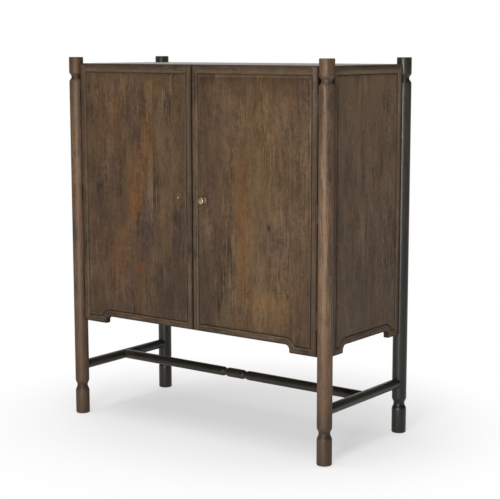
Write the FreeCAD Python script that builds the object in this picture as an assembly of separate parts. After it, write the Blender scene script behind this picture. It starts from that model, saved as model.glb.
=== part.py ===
import FreeCAD, Part
import math
import os

Vec = FreeCAD.Vector

# Two-door bar armoire on four turned posts. Millimetres, +Z up, floor at z = 0, front towards -Y,
# origin on the floor midway between the posts.

# Overall frame
overall_height = 1400.0
post_spacing_x = 1150.0
post_spacing_y = 506.0
head_rise = 24.0
rail_bottom = 408.5
ear_drop = 28.0
face_proud = 11.0
cut_overrun = 5.0
join_tolerance = 1e-6

# Turned posts
post_radius = 27.0
post_foot_round = 3.5
post_head_round = 2.5
foot_cove_start = 91.0
foot_cove_length = 47.0
foot_neck_radius = 20.5
head_length = 56.0
head_cove_length = 38.0
head_neck_radius = 19.0

# Floor glides under the posts
glide_radius = 16.0
glide_thickness = 2.5
glide_spigot_radius = 4.0
glide_spigot_length = 14.0

# H-stretcher
stretcher_height = 193.5
side_stretcher_radius = 18.5
side_stretcher_seat = 14.0
centre_stretcher_radius = 18.0
centre_neck_radius = 14.5
centre_cove_length = 33.0
centre_barrel_length = 61.0
centre_tenon_radius = 9.0
centre_tenon_length = 12.0
socket_clearance = 0.05
socket_end_gap = 0.2

# Frame-and-panel work of doors and sides
frame_thickness = 22.0
stile_width = 25.0
top_rail_width = 32.0
edge_ease = 3.0
ease_steps = 3
bead_width = 8.0
bead_quirk = 0.8
bead_depth = 6.0
ear_round = 6.0
step_round = 18.0
panel_back = 16.0
tongue_thickness = 8.0
tongue_depth = 8.0
tongue_clearance = 0.1
tongue_end_gap = 0.5
field_sink = 1.2
bevel_gap = 1.6
bevel_shoulder = 5.0
bevel_width = 10.4
tenon_shoulder = 6.0
tenon_margin = 2.0

# Doors
door_post_gap = 2.0
door_seam = 2.5
door_ear_width = 134.0

# Sides, tongued into the posts
side_post_gap = 1.0
side_ear_width = 91.0
side_tongue_thickness = 8.0
side_tongue_reach = 8.0
side_tongue_foot = 10.0
side_tongue_head_drop = 80.0

# Top, bottom and back
board_thickness = 20.0
board_lift = 3.0
board_door_gap = 2.5
board_post_clearance = 0.3
back_thickness = 10.0
back_groove_depth = 8.0
back_to_post_centre = 4.0
back_head_drop = 2.0
dowel_radius = 4.0
dowel_length = 30.0
dowel_in_rail = 11.0
dowel_lift = 8.0
dowel_spacing = 110.0
dowels_per_end = 3
dowel_clearance = 0.05
dowel_end_gap = 0.5
wood_screw_head_radius = 3.6
wood_screw_head_depth = 3.0
wood_screw_radius = 1.8
wood_screw_tip = 4.0
screw_clearance = 0.05
back_screw_length = 32.0
back_screw_inset = 70.0
back_screws_per_row = 5

# Butt hinges
hinge_length = 64.0
hinge_end_distance = 130.0
hinges_per_door = 3
knuckles_per_hinge = 5
knuckle_radius = 2.5
knuckle_gap = 0.4
knuckle_clearance = 0.4
leaf_thickness = 1.2
leaf_gap = 0.7
leaf_back_margin = 0.2
hinge_pin_radius = 1.25
hinge_pin_clearance = 0.05
hinge_pin_cap_radius = 2.3
hinge_pin_cap_height = 1.6
hinge_screw_spread = 36.0
hinge_screw_head_radius = 2.4
hinge_screw_head_depth = 1.0
hinge_screw_radius = 1.2
hinge_screw_length = 13.0
hinge_screw_tip = 2.0

# Knob on the right door
knob_x = 56.0
knob_z = 891.5
rosette_radius = 11.0
rosette_thickness = 3.0
rosette_round = 1.2
knob_spigot_radius = 4.5
knob_neck_radius = 5.5
knob_flare_length = 12.0
knob_head_radius = 12.2
knob_head_thickness = 7.0
knob_head_round = 4.0
knob_fit = 0.05
knob_screw_radius = 2.0
knob_screw_hold = 12.0
knob_screw_head_radius = 4.5
knob_screw_head_height = 2.6
panel_bolt_clearance = 0.3

# Catches, strike plates and bumpers
catch_length = 30.0
catch_depth = 34.0
catch_height = 11.0
catch_centre_x = 32.0
catch_gap = 0.4
catch_screw_spread = 18.0
catch_screw_length = 20.0
strike_length = 34.0
strike_thickness = 1.2
strike_screw_length = 5.5
bumper_radius = 4.0
bumper_gap = 0.3
bumper_x = 300.0

# Bar interior
divider_thickness = 18.0
divider_setback = 14.0
shelf_thickness = 18.0
shelf_setback = 3.0
shelf_end_gap = 1.0
shelf_ease = 2.0
left_shelf_rise = 463.0
right_upper_shelf_rise = 560.0
right_lower_shelf_rise = 230.0
shelf_pin_radius = 2.5
shelf_pin_length = 16.0
shelf_pin_hold = 8.0
shelf_pin_clearance = 0.05
stem_rail_count = 5
stem_rail_setback = 7.0
stem_web_width = 22.0
stem_web_height = 20.0
stem_flange_width = 76.0
stem_flange_thickness = 9.0
stem_screw_length = 42.0
stem_screw_inset = 60.0
bottle_count = 5
bottle_axis_lift = 60.0
cradle_thickness = 18.0
cradle_spacing = 250.0
rear_cradle_height = 46.0
rear_notch_radius = 42.0
front_cradle_height = 52.0
front_notch_radius = 17.0

# Places worked out from the sizes above
right_angle = math.pi / 2
post_x = post_spacing_x / 2
post_y = post_spacing_y / 2
carcass_top = overall_height - head_rise
ear_bottom = rail_bottom - ear_drop
door_front = -(post_y + face_proud)
door_back = door_front + frame_thickness
door_edge_u = post_radius + door_post_gap
door_hinge_edge = post_x - door_edge_u
side_face = post_x + face_proud
side_inner = side_face - frame_thickness
side_middle = side_face - frame_thickness / 2
side_edge = post_y - post_radius - side_post_gap
side_seat = post_y - post_radius + side_stretcher_seat
side_tongue_end = post_y - post_radius + side_tongue_reach
side_tongue_low = ear_bottom + side_tongue_foot
side_tongue_high = carcass_top - side_tongue_head_drop
bottom_low = rail_bottom + board_lift
bottom_high = bottom_low + board_thickness
bottom_middle = bottom_low + board_thickness / 2
top_low = carcass_top - board_thickness
top_middle = carcass_top - board_thickness / 2
board_front = door_back + board_door_gap
back_front = post_y - back_to_post_centre - back_thickness
back_rear = back_front + back_thickness
back_edge = post_x - post_radius + back_groove_depth
back_high = carcass_top - back_head_drop
divider_half = divider_thickness / 2
bay_width = side_inner - divider_half
corners = [(side, end) for side in (-1, 1) for end in (-1, 1)]

os.makedirs("parts", exist_ok=True)
nodes = {}


# Builders shared by the pieces

def box(x_low, x_high, y_low, y_high, z_low, z_high):
    return Part.makeBox(x_high - x_low, y_high - y_low, z_high - z_low, Vec(x_low, y_low, z_low))


def rod(radius, start, axis, length):
    return Part.makeCylinder(radius, length, start, axis)


def group(solids):
    return Part.makeCompound(solids)


def handed(shape, side, end=1):
    """A shape drawn for the right rear, or its mirror image for the left side (-1) or the front end (-1)."""
    if side < 0:
        shape = shape.mirror(Vec(0, 0, 0), Vec(1, 0, 0))
    if end < 0:
        shape = shape.mirror(Vec(0, 0, 0), Vec(0, 1, 0))
    return shape


def spread(count, half):
    """Evenly spaced places from -half to half."""
    return [half * (2 * index / (count - 1) - 1) for index in range(count)]


def arc(centre, radius, start, end):
    """Start, middle and end point of an arc between two angles in radians."""
    angles = (start, (start + end) / 2, end)
    return [(centre[0] + radius * math.cos(a), centre[1] + radius * math.sin(a)) for a in angles]


def closed_wire(runs, place):
    """Wire through runs of one point, or of the three points of an arc, with straight lines between runs."""
    edges = []
    for run, following in zip(runs, runs[1:] + runs[:1]):
        if len(run) == 3:
            edges.append(Part.Arc(*[place(*point) for point in run]).toShape())
        if math.dist(run[-1], following[0]) > join_tolerance:
            edges.append(Part.makeLine(place(*run[-1]), place(*following[0])))
    return Part.Wire(edges)


def turned(runs):
    """Solid of revolution about Z from runs of (radius, height) points."""
    low = [(0, runs[0][0][1])]
    high = [(0, runs[-1][-1][1])]
    profile = closed_wire([low] + runs + [high], lambda radius, height: Vec(radius, 0, height))
    return Part.Face(profile).revolve(Vec(0, 0, 0), Vec(0, 0, 1), 360)


def laid(shape, start, axis):
    """A shape made along +Z, turned to point along axis with its foot at start."""
    placed = shape.copy()
    placed.Placement = FreeCAD.Placement(start, FreeCAD.Rotation(Vec(0, 0, 1), axis))
    return placed


def sway(start, end):
    """Two equal arcs that leave start and reach end along the axis of a turned piece."""
    depth = end[0] - start[0]
    length = end[1] - start[1]
    radius = (length ** 2 + depth ** 2) / (4 * abs(depth))
    half_angle = math.asin(length / 2 / radius) / 2
    out = math.copysign(radius * (1 - math.cos(half_angle)), depth)
    along = radius * math.sin(half_angle)
    middle = (start[0] + depth / 2, start[1] + length / 2)
    first = [start, (start[0] + out, start[1] + along), middle]
    second = [middle, (end[0] - out, end[1] - along), end]
    return [first, second]


def cove(radius, neck, start, length):
    middle = (neck, start + length / 2)
    return sway((radius, start), middle) + sway(middle, (radius, start + length))


def countersunk(head_radius, head_depth, radius, length, tip):
    """Screw along +Z with its flat head at z = 0."""
    return turned([[(head_radius, 0)], [(radius, head_depth)], [(radius, length - tip)], [(0, length)]])


def wood_screw(length, clearance=0):
    return countersunk(wood_screw_head_radius + clearance, wood_screw_head_depth,
                       wood_screw_radius + clearance, length + clearance, wood_screw_tip)


def hinge_screw(length, clearance=0):
    return countersunk(hinge_screw_head_radius + clearance, hinge_screw_head_depth,
                       hinge_screw_radius + clearance, length + clearance, hinge_screw_tip)


# Posts: one turned profile, then the sockets and grooves that their neighbours need

foot_round_centre = (post_radius - post_foot_round, glide_thickness + post_foot_round)
head_round_centre = (post_radius - post_head_round, overall_height - post_head_round)
head_cove_start = overall_height - head_length - head_cove_length
post_profile = [arc(foot_round_centre, post_foot_round, -right_angle, 0)]
post_profile += cove(post_radius, foot_neck_radius, foot_cove_start, foot_cove_length)
post_profile += cove(post_radius, head_neck_radius, head_cove_start, head_cove_length)
post_profile += [arc(head_round_centre, post_head_round, 0, right_angle)]
plain_post = turned(post_profile)

glide_height = glide_thickness + glide_spigot_length
glide_spigot = rod(glide_spigot_radius, Vec(0, 0, 0), Vec(0, 0, 1), glide_height)
glide = rod(glide_radius, Vec(0, 0, 0), Vec(0, 0, 1), glide_thickness).fuse(glide_spigot).removeSplitter()
glide_hole = rod(glide_spigot_radius + socket_clearance, Vec(0, 0, 0), Vec(0, 0, 1),
                 glide_height + socket_end_gap)


def post(side, end):
    """A post with its glide hole, stretcher socket, side groove and, at the rear, the groove of the back."""
    centre = Vec(side * post_x, end * post_y, 0)
    socket = rod(side_stretcher_radius + socket_clearance, Vec(side * post_x, 0, stretcher_height),
                 Vec(0, end, 0), side_seat + socket_end_gap)
    half = side_tongue_thickness / 2 + tongue_clearance
    groove = box(side_middle - half, side_middle + half, 0, side_tongue_end + tongue_clearance,
                 side_tongue_low - tongue_clearance, side_tongue_high + tongue_clearance)
    tools = [glide_hole.translated(centre), socket, handed(groove, side, end)]
    if end > 0:
        slot = box(0, back_edge + tongue_clearance, back_front - tongue_clearance,
                   back_rear + tongue_clearance, bottom_low - tongue_clearance, back_high + tongue_clearance)
        tools.append(handed(slot, side))
    return plain_post.translated(centre).cut(tools)


nodes["floor_glides"] = group([glide.translated(Vec(side * post_x, end * post_y, 0)) for side, end in corners])
nodes["rear_left_post"] = post(-1, 1)
nodes["rear_right_post"] = post(1, 1)
front_post = post(1, -1)


# Stretchers: the side bars sit in whole-diameter sockets, the centre bar has coped ends and round tenons

tenon_end = post_x - side_stretcher_radius + centre_tenon_length
mortise_radius = centre_tenon_radius + socket_clearance
for name, side in (("left_side_stretcher", -1), ("right_side_stretcher", 1)):
    bar = rod(side_stretcher_radius, Vec(side * post_x, -side_seat, stretcher_height), Vec(0, 1, 0),
              2 * side_seat)
    mortise = rod(mortise_radius, Vec(0, 0, stretcher_height), Vec(side, 0, 0), tenon_end + socket_end_gap)
    nodes[name] = bar.cut(mortise)

barrel_half = centre_barrel_length / 2
cove_end = barrel_half + centre_cove_length
centre_profile = [[(centre_stretcher_radius, -post_x)]]
centre_profile += cove(centre_stretcher_radius, centre_neck_radius, -cove_end, centre_cove_length)
centre_profile += cove(centre_stretcher_radius, centre_neck_radius, barrel_half, centre_cove_length)
centre_profile += [[(centre_stretcher_radius, post_x)]]
centre_bar = laid(turned(centre_profile), Vec(0, 0, stretcher_height), Vec(1, 0, 0))
copes = []
for side in (-1, 1):
    cope_start = Vec(side * post_x, -post_y, stretcher_height)
    copes.append(rod(side_stretcher_radius + socket_clearance, cope_start, Vec(0, 1, 0), post_spacing_y))
coped_bar = max(centre_bar.cut(copes).Solids, key=lambda solid: solid.Volume)
tenon_bar = rod(centre_tenon_radius, Vec(-tenon_end, 0, stretcher_height), Vec(1, 0, 0), 2 * tenon_end)
nodes["centre_stretcher"] = coped_bar.fuse(tenon_bar).removeSplitter()


# Frame-and-panel work, drawn as (s, z) across the face with the depth counted back from the front face.
# Edges and steps are kept under -1 for the left end and 1 for the right end.

quarter_angles = [right_angle * step / ease_steps for step in range(ease_steps + 1)]
groove_front = panel_back - tongue_thickness
top_extra = top_rail_width - stile_width


def step_path(step, side, inset):
    """Arcs from the rail's lower edge out and down to the ear's lower edge, moved inwards by inset."""
    hollow_z = rail_bottom - step_round
    drop = hollow_z - ear_bottom - ear_round
    reach = ear_round + step_round
    if inset < ear_round:
        lean = -math.asin(drop / reach)
        swell = (reach * math.cos(lean), ear_bottom + ear_round)
        ear_arc = [arc(swell, ear_round - inset, math.pi + lean, 3 * right_angle)]
    else:
        lean = math.asin((ear_bottom + inset - hollow_z) / (step_round + inset))
        ear_arc = []
    path = [arc((0, hollow_z), step_round + inset, right_angle, lean)] + ear_arc
    return [[(step + side * out, z) for out, z in run] for run in path]


def outline(form, inset, depth, extra):
    """Outline of a door or side with its stepped lower edge, moved inwards by inset, at a depth."""
    left = form["edges"][-1] + inset
    right = form["edges"][1] - inset
    top = carcass_top - inset - extra
    runs = [[(left, rail_bottom + inset)]]
    if form["steps"][-1] is not None:
        path = step_path(form["steps"][-1], -1, inset)
        runs = [[(left, ear_bottom + inset)]] + [run[::-1] for run in path[::-1]]
    runs += step_path(form["steps"][1], 1, inset)
    runs += [[(right, ear_bottom + inset)], [(right, top)], [(left, top)]]
    return closed_wire(runs, lambda s, z: Vec(s, depth, z))


def lofted(form, sections, extra):
    return Part.makeLoft([outline(form, inset, depth, extra) for inset, depth in sections], True, True)


def frame_ring(form):
    """Whole frame with eased edges, a beaded opening and the groove that holds the panel."""
    ease = [(edge_ease * (1 - math.sin(a)), edge_ease * (1 - math.cos(a))) for a in quarter_angles]
    rim = ease + [(inset, frame_thickness - depth) for inset, depth in ease[::-1]]
    bead_start = stile_width - bead_width
    bead_fall = bead_depth - bead_quirk
    opening = [(bead_start, -cut_overrun)]
    opening += [(bead_start + bead_width * math.sin(a), bead_depth - bead_fall * math.cos(a))
                for a in quarter_angles]
    opening += [(stile_width, frame_thickness + cut_overrun)]
    groove_inset = stile_width - tongue_depth - tongue_end_gap
    groove = [(groove_inset, groove_front - tongue_clearance), (groove_inset, panel_back + tongue_clearance)]
    tools = [lofted(form, opening, top_extra), lofted(form, groove, top_extra)]
    return lofted(form, rim, 0).cut(tools)


def raised_panel(form):
    """Panel with a tongue all round and a rounded bevel up to its field."""
    tongue_inset = stile_width - tongue_depth
    tongue = lofted(form, [(tongue_inset, groove_front), (tongue_inset, panel_back)], top_extra)
    raise_inset = stile_width + bevel_gap
    bevel_rise = bevel_shoulder - field_sink
    field = [(raise_inset, groove_front + tongue_thickness / 2)]
    field += [(raise_inset + bevel_width * (1 - math.cos(a)), bevel_shoulder - bevel_rise * math.sin(a))
              for a in quarter_angles]
    return tongue.fuse(lofted(form, field, top_extra)).removeSplitter()


def stub_tenon(shoulder, side, span, clearance, end_gap):
    """Tenon of a rail past its shoulder into a stile, or with a clearance the mortise for it."""
    root = shoulder - side * edge_ease
    tip = shoulder + side * (tongue_depth + end_gap)
    return box(min(root, tip), max(root, tip), groove_front - clearance, panel_back + clearance,
               span[0] - clearance, span[1] + clearance)


def framed(form):
    """Left stile, right stile, top rail, apron rail and panel of one door or side."""
    ring = frame_ring(form)
    shoulders = {side: form["edges"][side] - side * stile_width for side in (-1, 1)}
    stiles = {}
    slabs = []
    for side in (-1, 1):
        outer = form["edges"][side] + side * cut_overrun
        slab = box(min(outer, shoulders[side]), max(outer, shoulders[side]), -cut_overrun,
                   frame_thickness + cut_overrun, ear_bottom - cut_overrun, carcass_top + cut_overrun)
        stiles[side] = ring.common(slab)
        slabs.append(slab)
    apron, top = sorted(ring.cut(slabs).Solids, key=lambda solid: solid.CenterOfMass.z)
    top_span = (carcass_top - top_rail_width + tongue_depth + tenon_margin, carcass_top - tenon_shoulder)
    for side in (-1, 1):
        base = rail_bottom if form["steps"][side] is None else ear_bottom
        apron_span = (base + tenon_shoulder, base + stile_width - tongue_depth - tenon_margin)
        top = top.fuse(stub_tenon(shoulders[side], side, top_span, 0, 0))
        apron = apron.fuse(stub_tenon(shoulders[side], side, apron_span, 0, 0))
        mortises = [stub_tenon(shoulders[side], side, span, tongue_clearance, tongue_end_gap)
                    for span in (top_span, apron_span)]
        stiles[side] = stiles[side].cut(mortises)
    return stiles[-1], stiles[1], top.removeSplitter(), apron.removeSplitter(), raised_panel(form)


# Sides: frame and panel between the posts, with tongues on the outer edges of the stiles

side_step = side_edge - side_ear_width
side_form = {"edges": {-1: -side_edge, 1: side_edge}, "steps": {-1: -side_step, 1: side_step}}
side_tongue_front = (frame_thickness - side_tongue_thickness) / 2
side_tongue = box(side_edge - edge_ease, side_tongue_end, side_tongue_front,
                  side_tongue_front + side_tongue_thickness, side_tongue_low, side_tongue_high)
front_stile, rear_stile, side_top_rail, side_apron_rail, side_panel = framed(side_form)
side_pieces = {"front_stile": front_stile.fuse(handed(side_tongue, -1)).removeSplitter(),
               "rear_stile": rear_stile.fuse(side_tongue).removeSplitter(),
               "top_rail": side_top_rail, "apron_rail": side_apron_rail, "panel": side_panel}
for name, piece in side_pieces.items():
    right_piece = piece.translated(Vec(side_face, 0, 0))
    right_piece.rotate(Vec(side_face, 0, 0), Vec(0, 0, 1), 90)
    nodes["right_side_" + name] = right_piece
    nodes["left_side_" + name] = handed(right_piece, -1)


# Top and bottom boards between the side frames, notched round the posts and dowelled to the rails

post_notches = []
for side, end in corners:
    notch_centre = Vec(side * post_x, end * post_y, 0)
    post_notches.append(rod(post_radius + board_post_clearance, notch_centre, Vec(0, 0, 1), overall_height))
top_board = box(-side_inner, side_inner, board_front, back_front, top_low, carcass_top)
bottom_board = box(-side_inner, side_inner, board_front, back_front, bottom_low, bottom_high)
nodes["top_board"] = top_board.cut(post_notches)
nodes["bottom_board"] = bottom_board.cut(post_notches)

dowels = []
dowel_rows = (("top_board", "top_rail", top_middle), ("bottom_board", "apron_rail", bottom_low + dowel_lift))
for side, word in ((-1, "left"), (1, "right")):
    for board, rail, z in dowel_rows:
        for y in spread(dowels_per_end, dowel_spacing * (dowels_per_end - 1) / 2):
            tip = Vec(side * (side_inner + dowel_in_rail), y, z)
            hole_end = tip + Vec(side * dowel_end_gap, 0, 0)
            hole = rod(dowel_radius + dowel_clearance, hole_end, Vec(-side, 0, 0),
                       dowel_length + 2 * dowel_end_gap)
            dowels.append(rod(dowel_radius, tip, Vec(-side, 0, 0), dowel_length))
            for name in (board, word + "_side_" + rail):
                nodes[name] = nodes[name].cut(hole)
nodes["carcass_dowels"] = group(dowels)


def screwed(shape_names, length, start, axis):
    """A wood screw laid at start along axis, with its hole cut from the named pieces."""
    hole = laid(wood_screw(length, screw_clearance), start, axis)
    for name in shape_names:
        nodes[name] = nodes[name].cut(hole)
    return laid(wood_screw(length), start, axis)


# Back panel in the grooves of the rear posts, screwed to the rear edges of both boards

nodes["back_panel"] = box(-back_edge, back_edge, back_front, back_rear, bottom_low, back_high)
back_screws = []
for board, z in (("top_board", top_middle), ("bottom_board", bottom_middle)):
    for x in spread(back_screws_per_row, side_inner - back_screw_inset):
        place = Vec(x, back_rear, z)
        back_screws.append(screwed(("back_panel", board), back_screw_length, place, Vec(0, -1, 0)))
nodes["back_screws"] = group(back_screws)


# Bar interior: divider, shelves on pins, stemware rails under the top, bottle cradles on the bottom

divider_front = board_front + divider_setback
nodes["centre_divider"] = box(-divider_half, divider_half, divider_front, back_front, bottom_high, top_low)
shelf_half = side_edge - shelf_setback
shelf_pin_y = side_edge - (stile_width - tongue_depth) / 2
shelf_pins = []
for shelf_name, side, rise in (("left_shelf", -1, left_shelf_rise),
                               ("right_upper_shelf", 1, right_upper_shelf_rise),
                               ("right_lower_shelf", 1, right_lower_shelf_rise)):
    shelf_z = bottom_high + rise
    shelf = box(divider_half + shelf_end_gap, side_inner - shelf_end_gap, -shelf_half, shelf_half,
                shelf_z, shelf_z + shelf_thickness)
    long_edges = [edge for edge in shelf.Edges if abs(edge.tangentAt(edge.FirstParameter).x) > join_tolerance]
    nodes[shelf_name] = handed(shelf.makeFillet(shelf_ease, long_edges), side)
    word = shelf_name.split("_")[0]
    for end, stile in ((-1, "_side_front_stile"), (1, "_side_rear_stile")):
        places = ((word + stile, side_inner + shelf_pin_hold, -side),
                  ("centre_divider", divider_half - shelf_pin_hold, side))
        for carrier, out, direction in places:
            start = Vec(side * out, end * shelf_pin_y, shelf_z - shelf_pin_radius)
            axis = Vec(direction, 0, 0)
            pin_hole = rod(shelf_pin_radius + shelf_pin_clearance, start, axis, shelf_pin_length)
            nodes[carrier] = nodes[carrier].cut(pin_hole)
            shelf_pins.append(rod(shelf_pin_radius, start, axis, shelf_pin_length))
nodes["shelf_pins"] = group(shelf_pins)

stem_pitch = bay_width / stem_rail_count
stem_half = side_edge - stem_rail_setback
web_half = stem_web_width / 2
flange_half = stem_flange_width / 2
web_low = top_low - stem_web_height
flange_low = web_low - stem_flange_thickness
stem_rails = []
stem_places = []
for index in range(stem_rail_count):
    x = -divider_half - stem_pitch * (index + 1 / 2)
    web = box(x - web_half, x + web_half, -stem_half, stem_half, web_low, top_low)
    flange = box(x - flange_half, x + flange_half, -stem_half, stem_half, flange_low, web_low)
    stem_rails.append(web.fuse(flange).removeSplitter())
    stem_places += [Vec(x, y, flange_low) for y in spread(2, stem_half - stem_screw_inset)]
nodes["stemware_rails"] = group(stem_rails)
stem_carriers = ("stemware_rails", "top_board")
nodes["stemware_screws"] = group([screwed(stem_carriers, stem_screw_length, place, Vec(0, 0, 1))
                                  for place in stem_places])

bottle_pitch = bay_width / bottle_count
for name, y, height, notch_radius in (
        ("front_bottle_cradle", -cradle_spacing / 2, front_cradle_height, front_notch_radius),
        ("rear_bottle_cradle", cradle_spacing / 2, rear_cradle_height, rear_notch_radius)):
    notch_front = y - cradle_thickness / 2 - cut_overrun
    notches = []
    for index in range(bottle_count):
        x = divider_half + bottle_pitch * (index + 1 / 2)
        notches.append(rod(notch_radius, Vec(x, notch_front, bottom_high + bottle_axis_lift), Vec(0, 1, 0),
                           cradle_thickness + 2 * cut_overrun))
    strip = box(divider_half, side_inner, y - cradle_thickness / 2, y + cradle_thickness / 2, bottom_high,
                bottom_high + height)
    nodes[name] = strip.cut(notches)


# Door frames and panels, drawn for the right door

door_step = door_hinge_edge - door_ear_width
door_form = {"edges": {-1: door_seam / 2, 1: door_hinge_edge}, "steps": {-1: None, 1: door_step}}
door_words = ("meeting_stile", "hinge_stile", "top_rail", "apron_rail", "panel")
door = {}
for word, piece in zip(door_words, framed(door_form)):
    door[word] = piece.translated(Vec(0, door_front, 0))


# Butt hinges, drawn for the right door from the post centre: u towards the door, v towards the front

flat_u = door_edge_u - 2 * leaf_thickness - leaf_gap
door_leaf_u = flat_u + leaf_thickness + leaf_gap
pin_u = flat_u + leaf_thickness + leaf_gap / 2
ease_reach = edge_ease + knuckle_radius + knuckle_clearance
post_clear_v = math.sqrt((post_radius + knuckle_radius + knuckle_clearance) ** 2 - pin_u ** 2)
door_clear_v = face_proud - edge_ease + math.sqrt(ease_reach ** 2 - (door_edge_u + edge_ease - pin_u) ** 2)
pin_v = max(post_clear_v, door_clear_v)
leaf_end_v = pin_v - knuckle_radius - knuckle_gap
frame_leaf_back_v = leaf_back_margin - math.sqrt(post_radius ** 2 - flat_u ** 2)
door_leaf_back_v = face_proud - frame_thickness + edge_ease
knuckle_length = (hinge_length - knuckle_gap * (knuckles_per_hinge - 1)) / knuckles_per_hinge
hinge_middle = (ear_bottom + carcass_top) / 2
hinge_reach = hinge_middle - ear_bottom - hinge_end_distance
hinge_heights = [hinge_middle + z for z in spread(hinges_per_door, hinge_reach)]


def at_hinge(u, v, z):
    return Vec(post_x - u, -post_y - v, z)


def hinge_box(u_low, u_high, v_low, v_high, z_low, z_high):
    return box(post_x - u_high, post_x - u_low, -post_y - v_high, -post_y - v_low, z_low, z_high)


def leaf(u_low, back_v, low, first):
    """Leaf with every second knuckle from the first, counted from the bottom, and the bore for the pin."""
    u_high = u_low + leaf_thickness
    plate = hinge_box(u_low, u_high, back_v, leaf_end_v, low, low + hinge_length)
    knuckles = []
    for index in range(first, knuckles_per_hinge, 2):
        z = low + index * (knuckle_length + knuckle_gap)
        knuckles.append(hinge_box(u_low, u_high, back_v, pin_v, z, z + knuckle_length))
        knuckles.append(rod(knuckle_radius, at_hinge(pin_u, pin_v, z), Vec(0, 0, 1), knuckle_length))
    bore = rod(hinge_pin_radius + hinge_pin_clearance, at_hinge(pin_u, pin_v, low), Vec(0, 0, 1), hinge_length)
    return plate.fuse(knuckles).removeSplitter().cut(bore)


frame_leaves = []
door_leaves = []
hinge_pins = []
frame_leaf_screws = []
door_leaf_screws = []
for height in hinge_heights:
    low = height - hinge_length / 2
    high = low + hinge_length
    flat = hinge_box(flat_u, post_radius + cut_overrun, -post_radius, post_radius, low - leaf_back_margin,
                     high + leaf_back_margin)
    front_post = front_post.cut(flat)
    frame_leaf = leaf(flat_u, frame_leaf_back_v, low, 0)
    door_leaf = leaf(door_leaf_u, door_leaf_back_v, low, 1)
    for z in spread(2, hinge_screw_spread / 2):
        frame_start = at_hinge(flat_u + leaf_thickness, 0, height + z)
        door_start = at_hinge(door_leaf_u, 0, height + z)
        frame_leaf_screws.append(laid(hinge_screw(hinge_screw_length), frame_start, Vec(1, 0, 0)))
        door_leaf_screws.append(laid(hinge_screw(hinge_screw_length), door_start, Vec(-1, 0, 0)))
        frame_hole = laid(hinge_screw(hinge_screw_length, screw_clearance), frame_start, Vec(1, 0, 0))
        door_hole = laid(hinge_screw(hinge_screw_length, screw_clearance), door_start, Vec(-1, 0, 0))
        frame_leaf = frame_leaf.cut(frame_hole)
        front_post = front_post.cut(frame_hole)
        door_leaf = door_leaf.cut(door_hole)
        door["hinge_stile"] = door["hinge_stile"].cut(door_hole)
    frame_leaves.append(frame_leaf)
    door_leaves.append(door_leaf)
    pin = rod(hinge_pin_radius, at_hinge(pin_u, pin_v, low), Vec(0, 0, 1), hinge_length)
    cap = rod(hinge_pin_cap_radius, at_hinge(pin_u, pin_v, high), Vec(0, 0, 1), hinge_pin_cap_height)
    hinge_pins.append(pin.fuse(cap).removeSplitter())
door["leaves"] = group(door_leaves)
door["leaf_screws"] = group(door_leaf_screws)

for name, solids in (("frame_leaves", frame_leaves), ("frame_leaf_screws", frame_leaf_screws),
                     ("hinge_pins", hinge_pins)):
    right_group = group(solids)
    nodes[name] = group(right_group.Solids + handed(right_group, -1).Solids)
nodes["front_right_post"] = front_post
nodes["front_left_post"] = handed(front_post, -1)


# Magnetic catches under the top, strike plates on the doors, soft bumpers on the board edges

catch_front = door_back + strike_thickness + catch_gap
catch_low = top_low - catch_height
catch = box(catch_centre_x - catch_length / 2, catch_centre_x + catch_length / 2, catch_front,
            catch_front + catch_depth, catch_low, top_low)
nodes["magnetic_catches"] = group([handed(catch, side) for side in (-1, 1)])
catch_carriers = ("magnetic_catches", "top_board")
catch_screws = []
for side in (-1, 1):
    for x in spread(2, catch_screw_spread / 2):
        place = Vec(side * catch_centre_x + x, catch_front + catch_depth / 2, catch_low)
        catch_screws.append(screwed(catch_carriers, catch_screw_length, place, Vec(0, 0, 1)))
nodes["catch_screws"] = group(catch_screws)

strike_place = Vec(catch_centre_x, door_back + strike_thickness, catch_low + catch_height / 2)
strike = box(catch_centre_x - strike_length / 2, catch_centre_x + strike_length / 2, door_back,
             door_back + strike_thickness, catch_low, top_low)
strike_hole = laid(hinge_screw(strike_screw_length, screw_clearance), strike_place, Vec(0, -1, 0))
strike_screw = laid(hinge_screw(strike_screw_length), strike_place, Vec(0, -1, 0))
door["top_rail"] = door["top_rail"].cut(strike_hole)

bumper_length = board_door_gap - bumper_gap
bumpers = []
for x in (-bumper_x, bumper_x):
    for z in (top_middle, bottom_middle):
        bumpers.append(rod(bumper_radius, Vec(x, board_front, z), Vec(0, -1, 0), bumper_length))
nodes["door_bumpers"] = group(bumpers)

for word, side in (("left", -1), ("right", 1)):
    for name, shape in door.items():
        nodes[word + "_door_" + name] = handed(shape, side)
    nodes[word + "_strike_plate"] = handed(strike.cut(strike_hole), side)
    nodes[word + "_strike_screw"] = handed(strike_screw, side)


# Knob, rosette and the screw from behind, on the field of the right door

outwards = Vec(0, -1, 0)
knob_seat = Vec(knob_x, door_front + field_sink, knob_z)
rosette_round_centre = (rosette_radius - rosette_round, rosette_thickness - rosette_round)
rosette = turned([[(rosette_radius, 0)], arc(rosette_round_centre, rosette_round, 0, right_angle)])
rosette_hole = rod(knob_spigot_radius + knob_fit, Vec(0, 0, 0), Vec(0, 0, 1), rosette_thickness)
nodes["knob_rosette"] = laid(rosette.cut(rosette_hole), knob_seat, outwards)

flare_end = rosette_thickness + knob_flare_length
head_end = flare_end + knob_head_thickness
crown_centre = (knob_head_radius - knob_head_round, head_end - knob_head_round)
knob_profile = [[(knob_spigot_radius, 0)], [(knob_spigot_radius, rosette_thickness)]]
knob_profile += sway((knob_neck_radius, rosette_thickness), (knob_head_radius, flare_end))
knob_profile += [arc(crown_centre, knob_head_round, 0, right_angle)]
knob_bore = rod(knob_screw_radius + knob_fit, Vec(0, 0, 0), Vec(0, 0, 1), knob_screw_hold + socket_end_gap)
nodes["knob"] = laid(turned(knob_profile).cut(knob_bore), knob_seat, outwards)

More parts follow.
